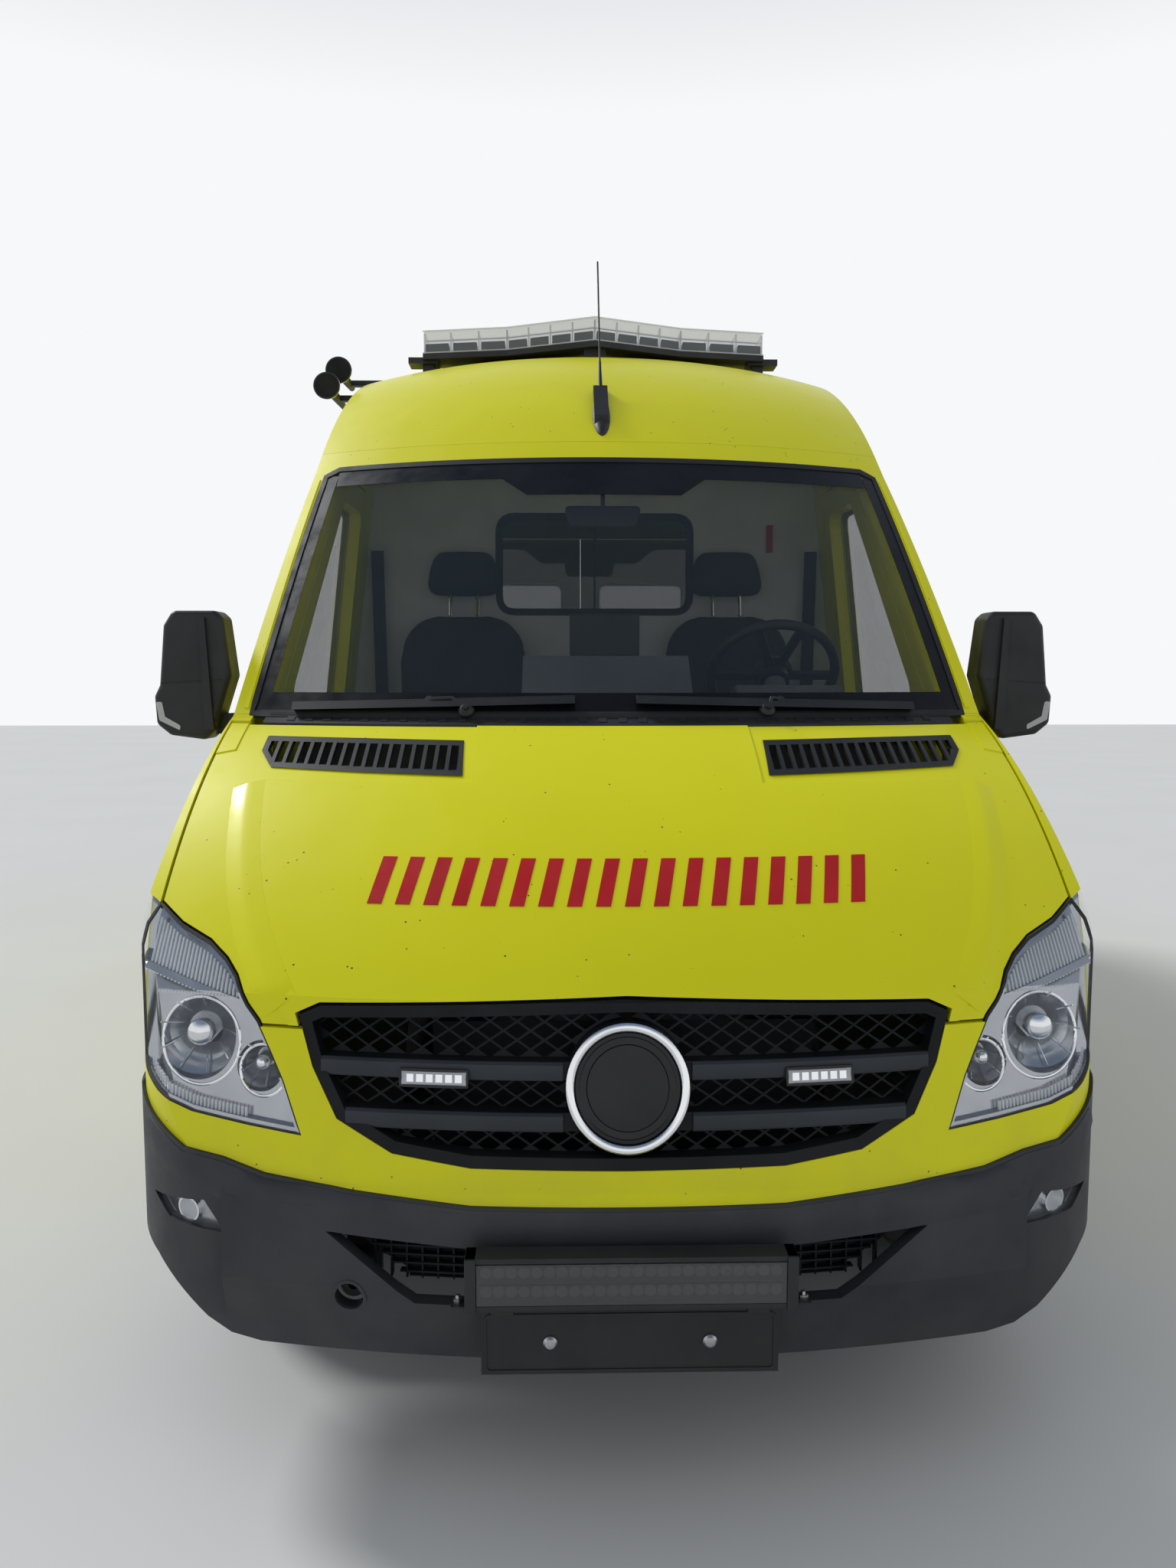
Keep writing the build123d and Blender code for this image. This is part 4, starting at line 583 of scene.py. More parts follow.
class Shape:
    """Closed forms gathered into one mesh."""

    def __init__(self):
        self.mesh = bmesh.new()

    def rings(self, rings, wrap=False):
        rows = [[self.mesh.verts.new(point) for point in ring] for ring in rings]
        count = len(rows[0])
        pairs = list(zip(rows, rows[1:]))
        if wrap:
            pairs.append((rows[-1], rows[0]))
        for a, b in pairs:
            for i in range(count):
                j = (i + 1) % count
                self.mesh.faces.new((a[i], a[j], b[j], b[i]))
        if not wrap:
            self.mesh.faces.new(list(reversed(rows[0])))
            self.mesh.faces.new(rows[-1])
        return self

    def prism(self, outline, move):
        return self.rings([[Vector(p) for p in outline], [Vector(p) + Vector(move) for p in outline]])

    def box(self, low, high):
        (x0, y0, z0), (x1, y1, z1) = low, high
        return self.prism([(x0, y0, z0), (x1, y0, z0), (x1, y1, z0), (x0, y1, z0)], (0, 0, z1 - z0))

    def beam(self, half, front, back, low, high):
        """Box across the middle line."""
        return self.box((-half, front, low), (half, back, high))

    def tube(self, points, radius, sides=10, closed=False):
        up = Vector((0.05, 0.1, 1)).normalized()
        rings = []
        for i, point in enumerate(points):
            along = direction_at(points, i, closed)
            across = along.cross(up)
            if across.length < 0.1:
                across = along.cross(Vector((1, 0, 0)))
            across.normalize()
            other = across.cross(along)
            spokes = [across * cos(a) + other * sin(a) for a in turns(sides)]
            rings.append([Vector(point) + radius * spoke for spoke in spokes])
        return self.rings(rings, closed)

    def lathe(self, centre, axis, profile, steps):
        """Solid of revolution from (distance along the axis, radius) pairs."""
        axis = Vector(axis).normalized()
        side = axis.orthogonal().normalized()
        other = axis.cross(side)
        rings = []
        for along, radius in profile:
            foot = Vector(centre) + axis * along
            rings.append([foot + radius * (side * cos(a) + other * sin(a)) for a in turns(steps)])
        return self.rings(rings)

    def stud(self, place, low, profile, steps=16, surface=skin):
        """Solid of revolution that stands on a surface."""
        return self.lathe(surface(*place, low), surface(*place, 1) - surface(*place), profile, steps)

    def patch(self, corners, low, high, surface=skin, columns=4, rows=2):
        """Thin plate that lies on a surface inside four corners."""
        a, b, c, d = (Vector(corner) for corner in corners)
        grid = [[a.lerp(b, i / columns).lerp(d.lerp(c, i / columns), j / rows) for i in range(columns + 1)]
                for j in range(rows + 1)]
        layers = []
        for out in (low, high):
            layers.append([[self.mesh.verts.new(surface(*p, out)) for p in row] for row in grid])
        for layer in layers:
            for j in range(rows):
                for i in range(columns):
                    self.mesh.faces.new((layer[j][i], layer[j][i + 1], layer[j + 1][i + 1], layer[j + 1][i]))
        rim = [(0, i) for i in range(columns)] + [(j, columns) for j in range(rows)]
        rim += [(rows, i) for i in range(columns, 0, -1)] + [(j, 0) for j in range(rows, 0, -1)]
        for (j, i), (n, m) in zip(rim, rim[1:] + rim[:1]):
            self.mesh.faces.new((layers[0][j][i], layers[0][n][m], layers[1][n][m], layers[1][j][i]))
        return self

    def sweep(self, path, section, surface=skin, closed=False):
        """Cross-section of (across, outwards) pairs drawn along a path on a surface."""
        rings = []
        for i, point in enumerate(path):
            along = direction_at(path, i, closed)
            across = Vector((-along.y, along.x))
            rings.append([surface(*(Vector(point) + across * a), out) for a, out in section])
        return self.rings(rings, closed)

    def disc(self, centre, profile, steps=56):
        """Round plate on the front from (radius, outwards) pairs."""
        return self.rings([[skin(*p, out) for p in circle(centre, r, steps)] for r, out in profile])

    def rib(self, x, low, high, section, step=0.03):
        """Upright strip on the front, with its width and two distances outwards as section."""
        return self.ribbon(dense([(x, low), (x, high)], step), *section)

    def ribbon(self, path, width, low, high, surface=skin, closed=False):
        """Strip along a path on a surface, with a thickness outwards."""
        half = width / 2
        return self.sweep(path, ((-half, low), (half, low), (half, high), (-half, high)), surface, closed)


def in_scene(name, data):
    thing = bpy.data.objects.new(name, data)
    bpy.context.scene.collection.objects.link(thing)
    return thing


def smoothed(data):
    for polygon in data.polygons:
        polygon.use_smooth = True


def add_piece(name, shape, material, body=ROOT, bevel=0.0, sharp=35):
    bmesh.ops.recalc_face_normals(shape.mesh, faces=shape.mesh.faces)
    data = bpy.data.meshes.new(name)
    shape.mesh.to_mesh(data)
    shape.mesh.free()
    data.materials.append(M[material])
    smoothed(data)
    data.set_sharp_from_angle(angle=radians(sharp))
    thing = in_scene(name, data)
    if bevel:
        edge = thing.modifiers.new("edge", "BEVEL")
        edge.width = bevel
        edge.segments = 2
        edge.limit_method = "ANGLE"
        edge.angle_limit = radians(40)
        edge.harden_normals = True
    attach(thing, body)
    return thing


def strip_piece(name, path, step, section, material, surface=skin, closed=False, **options):
    """Piece of one strip along a path, with its width and two distances outwards as section."""
    strip = Shape().ribbon(dense(path, step, closed), *section, surface, closed)
    return add_piece(name, strip, material, **options)


# Glass surrounds and nose trim


def screen_trim():
    strip_piece("screen_seal", mirrored(SCREEN_OUTLINE), 0.03, (0.016, -0.006, 0.0015), "rubber", closed=True)
    border = Shape()
    beads = Shape()
    for side in SIDES:
        edge = [(x - 0.022, z) for x, z in dense(SCREEN_OUTLINE[:2])]
        border.ribbon(sided(side, edge), 0.04, *FRIT)
        pillar = [(x + 0.016, z) for x, z in dense([(0.915, 1.462), (0.848, 2.14)])]
        beads.ribbon(sided(side, pillar), 0.012, -0.001, 0.0035)
    foot, head = SCREEN_OUTLINE[0][1], SCREEN_OUTLINE[2][1]
    border.ribbon(dense(level(0.87, foot + 0.028)), 0.052, *FRIT)
    border.ribbon(dense(level(0.8, head - 0.032)), 0.056, *FRIT)
    zone = ((-0.22, head - 0.115), (0.22, head - 0.115), (0.3, head - 0.055), (-0.3, head - 0.055))
    border.patch(zone, -0.0018, -0.0009, columns=10)
    add_piece("screen_border", border, "frit")
    add_piece("screen_pillar_beads", beads, "yellow")


def wiper(name, tip, heel, pivot):
    lift = 0.016
    blade = dense([heel, tip], 0.04)
    middle = ((heel[0] + tip[0]) / 2, (heel[1] + tip[1]) / 2)
    elbow = (pivot[0] * 0.6 + middle[0] * 0.4, middle[1] + 0.004)
    shape = Shape()
    shape.ribbon(blade, 0.01, 0.004, 0.012)
    shape.ribbon(blade, 0.004, -0.001, 0.005)
    shape.tube([skin(*p, lift) for p in dense([pivot, elbow, middle], 0.05)], 0.006, 8)
    shape.tube([skin(*middle, 0.004), skin(*middle, lift + 0.004)], 0.01, 10)
    shape.stud(pivot, -0.004, ((0, 0.02), (0.018, 0.02), (0.026, 0.012)), 20)
    add_piece(name, shape, "black", bevel=0.001)
    add_piece(name + "_nut", Shape().stud(pivot, 0.022, ((0, 0.008), (0.006, 0.007))), "black")


def cowl_trim():
    slots = Shape()
    for i in range(COWL_SLOTS):
        slots.rib(-0.8 + i * 0.0485, 1.434, 1.444, (0.02, 0.0, 0.0016))
    add_piece("cowl_slots", slots, "rubber")
    strip_piece("cowl_lip", level(0.86, 1.4478), 0.03, (0.008, -0.002, 0.004), "rubber")


def bonnet_creases():
    """Rounded shoulder over the edge of the raised middle of the bonnet."""
    shape = Shape()
    for side in SIDES:
        shape.sweep(sided(side, flowing(CREASE)), sided(side, CREASE_SECTION))
    add_piece("bonnet_creases", shape, "yellow", "bonnet", sharp=70)


def bonnet_marks():
    """Generic row of slanted red bars on the bonnet."""
    shape = Shape()
    for i in range(MARK_COUNT):
        left = MARK_LEFT + i * MARK_PITCH
        right = left + MARK_WIDTH
        head = [(left + MARK_LEAN, MARK_HIGH), (right + MARK_LEAN, MARK_HIGH)]
        shape.patch(((left, MARK_LOW), (right, MARK_LOW), head[1], head[0]), 0.0002, 0.0008, rows=6)
    add_piece("bonnet_bars", shape, "red_film", "bonnet")


def lamp_ribs(side, end):
    """Ribs in the upper corner of the lens."""
    start = 0.742
    ribs = Shape()
    for i in range(LAMP_RIBS):
        x = start + i * LAMP_PITCH
        low = 0.921 + (x - start) * 0.25
        high = between(LAMP_TOP, x) - 0.014
        ribs.rib(side * x, low, high, (0.0042, -0.016, -0.011), 0.02)
    add_piece("lamp_ribs_" + end, ribs, "ribs")


def lamp_dots(side, end):
    """Row of dots on the divider."""
    start = 0.722
    dots = Shape()
    for i in range(LAMP_DOTS):
        x = start + i * LAMP_PITCH
        z = 0.907 + (x - start) * 0.252
        dots.stud((side * x, z), -0.01, ((0, 0.0034), (0.0025, 0.0024)), 8)
    add_piece("lamp_dots_" + end, dots, "chrome")


def lamp_bowls(side, end):
    """Rims and spokes of the two bowls, and the shields of their bulbs."""
    rims = Shape()
    shields = Shape()
    for x, z, radius in LAMP_BOWLS:
        centre = skin(side * x, z, -0.036)
        ring = circle((centre.x, centre.z), radius, 40)
        rims.tube([(px, skin(px, pz, -0.03).y, pz) for px, pz in ring], 0.0035, 8, True)
        hub = Vector((side * x, centre.y + 0.02, z))
        profile = ((0, radius * 0.32), (0.01, radius * 0.31), (0.018, radius * 0.22), (0.022, 0.003))
        shields.lathe(hub, FORWARD, profile, 28)
        for a in turns(BOWL_SPOKES):
            outwards = Vector((cos(a), 0, sin(a))) * radius
            inner = hub + outwards * 0.52 + Vector((0, 0.014, 0))
            outer = hub + outwards * 0.93 + Vector((0, -0.022, 0))
            rims.tube([inner, outer], 0.0016, 6)
    add_piece("lamp_bowl_rims_" + end, rims, "chrome")
    add_piece("lamp_projectors_" + end, shields, "chrome")


def lamp_flutes(side, end):
    """Short flutes along the foot of the lens."""
    flutes = Shape()
    for i in range(LAMP_FLUTES):
        x = 0.732 + i * 0.0078
        low = between(LAMP_FOOT, x) + 0.008
        flutes.rib(side * x, low, low + 0.02, (0.004, -0.017, -0.012), 0.02)
    add_piece("lamp_flutes_" + end, flutes, "ribs")


def lamp_details(side, end):
    lamp_ribs(side, end)
    lamp_dots(side, end)
    lamp_bowls(side, end)
    lamp_flutes(side, end)
    outline = sided(side, LAMP_OUTLINE)
    strip_piece("lamp_seal_" + end, outline, 0.02, (0.005, -0.006, -0.0008), "rubber", closed=True)


def badge():
    """Plain chromed ring with a bare disc in it."""
    middle = (0.0, BADGE_Z)
    section = [(0.0085 * cos(a), 0.001 + 0.0055 * sin(a)) for a in turns(12)]
    ring = Shape().sweep(circle(middle, RING_RADIUS), section, closed=True)
    add_piece("grille_ring", ring, "chrome", sharp=80)
    add_piece("grille_disc", Shape().disc(middle, BADGE_DISC), "grille_gloss")


def slat_faces():
    slats = Shape()
    for z, half in SLATS:
        for x0, x1 in ((-half, -SLAT_START), (SLAT_START, half)):
            slats.sweep(dense([(x0, z), (x1, z)], 0.05), SLAT_FACE)
    add_piece("grille_slat_faces", slats, "slat_lip", sharp=25)


def strobes():
    low, high, inner, outer = STROBE
    cells = Shape()
    frames = Shape()
    for side in SIDES:
        outline = sided(side, oblong(inner, low, outer, high))
        frames.ribbon(dense(outline, 0.02, True), 0.005, 0.003, 0.0058, closed=True)
        for i in range(STROBE_CELLS):
            x = inner + 0.01 + i * 0.0182
            cell = oblong(x, low + 0.007, x + 0.013, high - 0.007)
            cells.patch(sided(side, cell), 0.0038, 0.005, columns=1, rows=1)
    add_piece("strobe_frames", frames, "black")
    add_piece("strobe_leds", cells, "chrome")


def driving_bar_housing(front, half):
    """Housing of the light bar in the air intake, with ribs behind and two brackets below."""
    foot, top = BAR_Z
    back = front + 0.05
    shape = Shape()
    shape.beam(half, front + 0.004, back, top - BAR_WALL, top)
    shape.beam(half, front + 0.004, back, foot, foot + BAR_WALL)
    shape.beam(half, front + 0.018, back, foot + BAR_WALL, top - BAR_WALL)
    for side in (-1, 1):
        a, b = sorted((side * half, side * (half - 0.02)))
        shape.box((a, front, foot - 0.002), (b, back, top))
    for k in range(BAR_RIBS):
        z = foot + 0.014 + k * 0.017
        shape.beam(half - 0.02, back, back + 0.012, z, z + 0.006)
    for x in (-0.23, 0.23):
        shape.box((x - 0.02, front + 0.03, PLATE_TOP + 0.0005), (x + 0.02, BAR_BRACKET_BACK, foot + 0.004))
    bar = add_piece("driving_bar_housing", shape, "black", bevel=0.0015)
    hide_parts("driving_light_bar")


def driving_bar_lamps(front, half):
    """Two rows of small reflectors, the bar between them and a smoked window."""
    foot, top = BAR_Z
    middle = (foot + top) / 2
    edge = half - 0.026
    pitch = 2 * edge / BAR_CELLS
    profile = ((-0.001, 0.0105), (0.0015, 0.0105), (0.002, 0.0045), (-0.0005, 0.0035))
    cells = Shape()
    for row in (-1, 1):
        for i in range(BAR_CELLS):
            centre = (-edge + (i + 0.5) * pitch, front + 0.0165, middle + row * 0.0175)
            cells.lathe(centre, FORWARD, profile, 14)
    add_piece("driving_bar_reflectors", cells, "chrome")
    divider = Shape().beam(half - 0.022, front + 0.006, front + 0.012, middle - 0.0022, middle + 0.0022)
    add_piece("driving_bar_middle", divider, "slat_lip", bevel=0.0008)
    low, high = foot + BAR_WALL + 0.001, top - BAR_WALL - 0.001
    window = Shape().beam(half - 0.021, front + 0.0035, front + 0.006, low, high)
    add_piece("driving_bar_window", window, "smoked")


def driving_bar_fixings(front, half):
    foot, top = BAR_Z
    screws = Shape()
    for side in (-1, 1):
        for z in (foot + 0.014, top - 0.014):
            place = (side * (half - 0.01), front + 0.0005, z)
            screws.lathe(place, (0, 1, 0), ((0, 0.0045), (0.002, 0.005)), 12)
    add_piece("driving_bar_screws", screws, "alloy")
    feet = Shape()
    nuts = Shape()
    for side in SIDES:
        a, b = sorted((side * (half - 0.002), side * (half + 0.026)))
        feet.box((a, front + 0.012, foot + 0.001), (b, front + 0.048, foot + 0.006))
        x, y = side * (half + 0.014), front + 0.03
        nuts.lathe((x, y, foot + 0.006), UP, ((0, 0.009), (0.007, 0.009)), 6)
        nuts.lathe((x, y, foot + 0.013), UP, ((0, 0.005), (0.006, 0.004)), 12)
    add_piece("driving_bar_feet", feet, "black", bevel=0.001)
    add_piece("driving_bar_nuts", nuts, "bolt")


def driving_bar():
    low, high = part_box("driving_light_bar")
    for detail in (driving_bar_housing, driving_bar_lamps, driving_bar_fixings):
        detail(low[1], high[0])


def plate_caps():
    x, z = PLATE_BOLT
    profile = ((-0.002, 0.013), (0.003, 0.013), (0.007, 0.009), (0.0078, 0.004))
    caps = Shape()
    for side in (-1, 1):
        caps.lathe((side * x, PLATE_FACE, z), FORWARD, profile, 24)
    add_piece("plate_bolt_caps", caps, "bolt")
    outline = rounded(mirrored([(0.262, 0.398), (0.262, 0.292)]), 0.01)
    rim = Shape().ribbon(outline, 0.004, 0.0, 0.0022, upright(PLATE_FACE), True)
    add_piece("plate_holder_rim", rim, "black")


def bumper_trim():
    top = [(x, z - 0.012) for x, z in BUMPER_LINE]
    path = dense(sided(-1, reversed(top[1:])) + top, 0.03)
    add_piece("bumper_edge", Shape().sweep(path, BUMPER_EDGE), "bumper", sharp=50)
    rim = Shape().ribbon(circle(TOW_HOLE, 0.03, 28), 0.006, 0.004, 0.0095, closed=True)
    add_piece("tow_hole_rim", rim, "bumper")


def intake_details():
    """Lattice in the air intake, and a flat near-black sheet behind it as painted shade of the intake's
    depth.
    """
    lattice = Shape()
    for k in range(LATTICE_ROWS):
        row = level(0.415 + k * 0.018, 0.418 + k * 0.0165)
        lattice.ribbon(dense(row), LATTICE_WIDTH, -0.054, -0.04)
    for k in range(LATTICE_COLUMNS):
        lattice.rib(-0.48 + k * 0.03, 0.409, 0.522, (LATTICE_WIDTH, -0.056, -0.042))
    add_piece("intake_lattice", lattice, "grille")
    corners = ((-0.405, 0.409), (0.405, 0.409), (0.565, 0.528), (-0.565, 0.528))
    # Flat near-black sheet behind the lattice: painted shade of the intake's depth.
    add_piece("intake_shade_sheet", Shape().patch(corners, -0.06, -0.0565, columns=24), "painted_shade")


def fog_details():
    """Silvered plate round the lamp, its rim and a fluted cover glass over the whole opening."""
    plates = Shape()
    rims = Shape()
    ribs = Shape()
    covers = Shape()
    start, foot, end, top = FOG_PLATE
    for side in SIDES:
        corners = sided(side, FOG_PLATE)
        plates.patch(corners, -0.0118, -0.0106, columns=6, rows=3)
        ring = circle((side * FOG_CENTRE[0], FOG_CENTRE[1]), 0.0225, 32)
        rims.ribbon(ring, 0.004, -0.0106, -0.002, closed=True)
        covers.patch(corners, -0.0012, 0.0004, columns=6, rows=3)
        for k in range(1, FOG_FLUTES):
            x = start[0] + (end[0] - start[0]) * k / FOG_FLUTES
            low = between((start, foot, end), x) + 0.002
            high = between((start, top, end), x) - 0.002
            ribs.rib(side * x, low, high, (0.0022, -0.0026, -0.0012), 0.01)
    add_piece("fog_plates", plates, "housing")
    add_piece("fog_covers", covers, "lens")
    add_piece("fog_rims", rims, "chrome")
    add_piece("fog_ribs", ribs, "ribs")


# Mirrors, doors and sides


def mirror_details(side, end):
    body = "front_door_" + end
    _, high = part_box("mirror_" + end)
    corners = [(1.045, 1.4), (1.045, 1.69), (1.17, 1.69), (1.195, 1.44), (1.17, 1.4)]
    outline = standing(sided(side, rounded(corners, 0.02)), high[1] - 0.003)
    add_piece("mirror_glass_" + end, Shape().prism(outline, (0, 0.0028, 0)), "mirror", body)
    corners = [(1.15, 1.398), (1.205, 1.425), (1.213, 1.475), (1.197, 1.475), (1.19, 1.435), (1.15, 1.412)]
    outline = standing(sided(side, rounded(corners, 0.006)), FRONT_Y + 1.1175)
    add_piece("mirror_indicator_" + end, Shape().prism(outline, (0, 0.008, 0)), "ribs", body)
    seam = sided(side, [(1.035, 1.535), (1.198, 1.525)])
    front = upright(FRONT_Y + 1.1202)
    strip_piece("mirror_seam_" + end, seam, 0.02, (0.004, -0.001, 0.0012), "rubber", front, body=body)


def door_trim(side, end):
    body = "front_door_" + end
    place = flank(side)
    grip = ((1.98, 1.245, 0.004), (1.985, 1.25, 0.03), (2.07, 1.25, 0.034), (2.15, 1.25, 0.03),
            (2.155, 1.245, 0.004))
    add_piece("door_handle_" + end, Shape().tube([place(*p) for p in grip], 0.01, 10), "black", body, 0.001)
    cup = rounded(oblong(1.995, 1.215, 2.145, 1.285), 0.02)
    strip_piece("door_cup_" + end, cup, 0.02, (0.006, -0.001, 0.0025), "rubber", place, True, body=body)
    window = rounded([(1.31, 1.46), (1.835, 2.11), (2.14, 2.11), (2.14, 1.44)], 0.045)
    section = (0.018, -0.012, 0.002)
    strip_piece("door_window_seal_" + end, window, 0.04, section, "rubber", place, True, body=body)
    line = [(1.345, STRIP_Z), (2.195, STRIP_Z)]
    strip_piece("door_rub_strip_" + end, line, 0.1, RUB_STRIP, "bumper", place, body=body, bevel=0.002)


def arch_lip(axle, station):
    """Path round a wheel arch, in front cut off before the door."""
    reach = 0.436
    angles = [radians(k) for k in range(6, 175, 6)]
    arc = [(station + reach * cos(a), 0.38 + reach * sin(a)) for a in angles]
    return [p for p in arc if p[0] < 1.35 or axle == "rear"]


def side_trim(side, end):
    place = flank(side)
    strips = Shape()
    for start, stop in SIDE_STRIPS[end]:
        strips.ribbon(dense([(start, STRIP_Z), (stop, STRIP_Z)], 0.1), *RUB_STRIP, place)
    add_piece("side_rub_strip_" + end, strips, "bumper", bevel=0.002)
    lips = Shape()
    for axle, station in AXLES:
        lips.ribbon(arch_lip(axle, station), 0.02, -0.002, 0.005, place)
    add_piece("arch_lip_" + end, lips, "black", bevel=0.001)
    window = rounded(oblong(2.6, 1.45, 3.56, 2.15), 0.06)
    strip_piece("side_window_seal_" + end, window, 0.06, GLASS_SEAL, "rubber", place, True)
    gutter = [(2.75, 2.405), (5.8, 2.405)]
    strip_piece("gutter_" + end, gutter, 0.3, (0.012, -0.002, 0.008), "yellow", place)
    profile = ((0, 0.024), (0.006, 0.022), (0.01, 0.012))
    add_piece("side_repeater_" + end, Shape().stud((1.2, 0.93), -0.001, profile, 24, place), "amber")


def sliding_door_trim():
    place = flank(-1)
    line = dense([(3.8, 1.33), (5.35, 1.33)], 0.15)
    rail = Shape().ribbon(line, 0.046, -0.001, 0.012, place)
    rail.ribbon(line, 0.012, 0.012, 0.016, place)
    add_piece("sliding_rail", rail, "black", bevel=0.002)
    grip = [place(2.56, z, out) for z, out in ((1.16, 0.004), (1.17, 0.032), (1.27, 0.032), (1.28, 0.004))]
    add_piece("sliding_handle", Shape().tube(grip, 0.011, 10), "black", bevel=0.001)
    arm = Shape().box(at(-0.986, 3.66, 1.315), at(-0.975, 3.8, 1.345))
    add_piece("sliding_arm", arm, "black", bevel=0.001)
    flap = rounded(oblong(2.32, 0.96, 2.43, 1.1), 0.02)
    strip_piece("fuel_flap_gap", flap, 0.03, (0.004, -0.0005, 0.0008), "rubber", flank(1), True)


def rear_door_trim(side, end):
    body = "rear_door_" + end
    window = sided(side, rounded(oblong(0.12, 1.45, 0.69, 2.15), 0.06))
    strip_piece("rear_window_seal_" + end, window, 0.05, GLASS_SEAL, "rubber", rear_face, True, body=body)
    line = sided(side, [(0.03, STRIP_Z), (0.78, STRIP_Z)])
    section = (0.07, -0.001, 0.006)
    strip_piece("rear_rub_strip_" + end, line, 0.1, section, "bumper", rear_face, body=body, bevel=0.002)


def rear_lamp_trim(side, end):
    bars = Shape()
    for k in range(1, 5):
        z = 0.95 + 0.1 * k
        bars.ribbon([(side * 0.888, z), (side * 0.975, z)], 0.004, 0.009, 0.0115, rear_face)
    add_piece("rear_lamp_bars_" + end, bars, "rubber")
    clear = Shape().patch(sided(side, oblong(0.892, 1.06, 0.965, 1.14)), 0.0095, 0.0115, rear_face, 1, 1)
    add_piece("rear_lamp_reverse_" + end, clear, "ribs")


def rear_handle():
    left, right = -0.1, -0.03
    out = BODY_REAR + 0.03
    handle = Shape().box(at(-0.11, BODY_REAR, 1.215), at(-0.02, BODY_REAR + 0.012, 1.285))
    handle.tube([at(left, out, 1.25), at(right, out, 1.25)], 0.009, 10)
    for x in (left, right):
        handle.tube([at(x, BODY_REAR + 0.01, 1.25), at(x, out, 1.25)], 0.007, 8)
    add_piece("rear_handle", handle, "black", "rear_door_right", 0.001)


def rear_step():
    tread = Shape()
    for k in range(STEP_BARS):
        x = -0.93 + k * 0.0315
        tread.box(at(x, BODY_REAR + 0.012, 0.6), at(x + 0.018, BODY_REAR + 0.07, 0.6025))
    add_piece("rear_step_tread", tread, "rubber")


# Roof fittings


def roof_bar_run(modules, ribs, side, start, end, count):
    """Reflector modules and the ribs between them along one straight run of the roof bar."""
    (x0, s0), (x1, s1) = start, end
    low = ROOF_BAR_Z[0]
    for i in range(count):
        a, b = (i + 0.08) / count, (i + 0.92) / count
        p = Vector((x0 + (x1 - x0) * a, s0 + (s1 - s0) * a))
        q = Vector((x0 + (x1 - x0) * b, s0 + (s1 - s0) * b))
        row = [(p.x, p.y + 0.016), (q.x, q.y + 0.016), (q.x, q.y + 0.118), (p.x, p.y + 0.118)]
        modules.prism([at(side * x, s, low) for x, s in row], (0, 0, 0.038))
    for i in range(count + 1):
        t = i / count
        x = side * min(x0 + (x1 - x0) * t, ROOF_BAR[2][0] - 0.008)
        s = s0 + (s1 - s0) * t
        ribs.box(at(x - 0.003, s + 0.008, low), at(x + 0.003, s + 0.126, low + 0.074))


def light_bar_inside():
    """What shows under the clear cover of the roof bar."""
    modules = Shape()
    ribs = Shape()
    for side in SIDES:
        roof_bar_run(modules, ribs, side, ROOF_BAR[0], ROOF_BAR[1], 4)
        roof_bar_run(modules, ribs, side, ROOF_BAR[1], ROOF_BAR[2], 3)
    add_piece("roof_bar_reflectors", modules, "slat_lip", bevel=0.003)
    edges = Shape()
    line = sided(-1, reversed(ROOF_BAR[1:])) + list(ROOF_BAR)
    for z in (ROOF_BAR_Z[0] + 0.002, ROOF_BAR_Z[1] - 0.003):
        for behind in (0.0035, 0.137):
            edges.tube([at(x, s + behind, z) for x, s in line], 0.0028, 8)
    add_piece("roof_bar_edges", edges, "ribs")
    add_piece("roof_bar_ribs", ribs, "ribs")


def aerial_skirt():
    rings = []
    for share, out in ((1.0, -0.001), (0.98, 0.004), (0.66, 0.011), (0.3, 0.018)):
        half, depth = 0.027 * share, 0.078 * share
        rings.append([skin(half * cos(a), AERIAL_Z + depth * sin(a), out) for a in turns(32)])
    shape = Shape().rings(rings)
    foot, tip = (Vector(at(0, s, z)) for s, z in WHIP)
    profile = ((0, 0.0078), (0.05, 0.0066), (0.1, 0.0048), (0.13, 0.0046), (0.14, 0.0034))
    shape.lathe(foot, tip - foot, profile, 16)
    add_piece("aerial_skirt", shape, "black", sharp=60)


def horn_mouth_shades():
    rims = Shape()
    mouths = Shape()
    for x, s, z in HORN_MOUTHS:
        front = FRONT_Y + s
        rims.tube(standing(circle((x, z), 0.0455, 40), front + 0.0035), 0.0035, 8, True)
        # Flat near-black discs over the horn mouths are painted shade of the bores behind them.
        mouths.lathe((x, front + 0.0005, z), FORWARD, ((0, 0.0435), (0.0006, 0.043)), 36)
    add_piece("horn_rims", rims, "chrome")
    add_piece("horn_mouth_shades", mouths, "painted_shade")


# Wheels


def wheel_places(side, station):
    """Points of one wheel from a distance across, a radius and an angle."""
    centre = Vector(at(side * WHEEL_X, station, WHEEL_Z))

    def place(x, radius=0.0, angle=0.0):
        return centre + Vector((x, radius * cos(angle), radius * sin(angle)))
    return place


def tyre_carcass(place):
    profile = mirrored(TYRE_HALF)
    profile.insert(len(TYRE_HALF), TYRE_CROWN)
    carcass = Shape().rings([[place(x, r, a) for x, r in profile] for a in turns(96)], True)
    for x in (-0.1168, 0.1168):
        for r in (0.245, 0.318):
            carcass.tube([place(x, r, a) for a in turns(72)], 0.0016, 6, True)
    return carcass


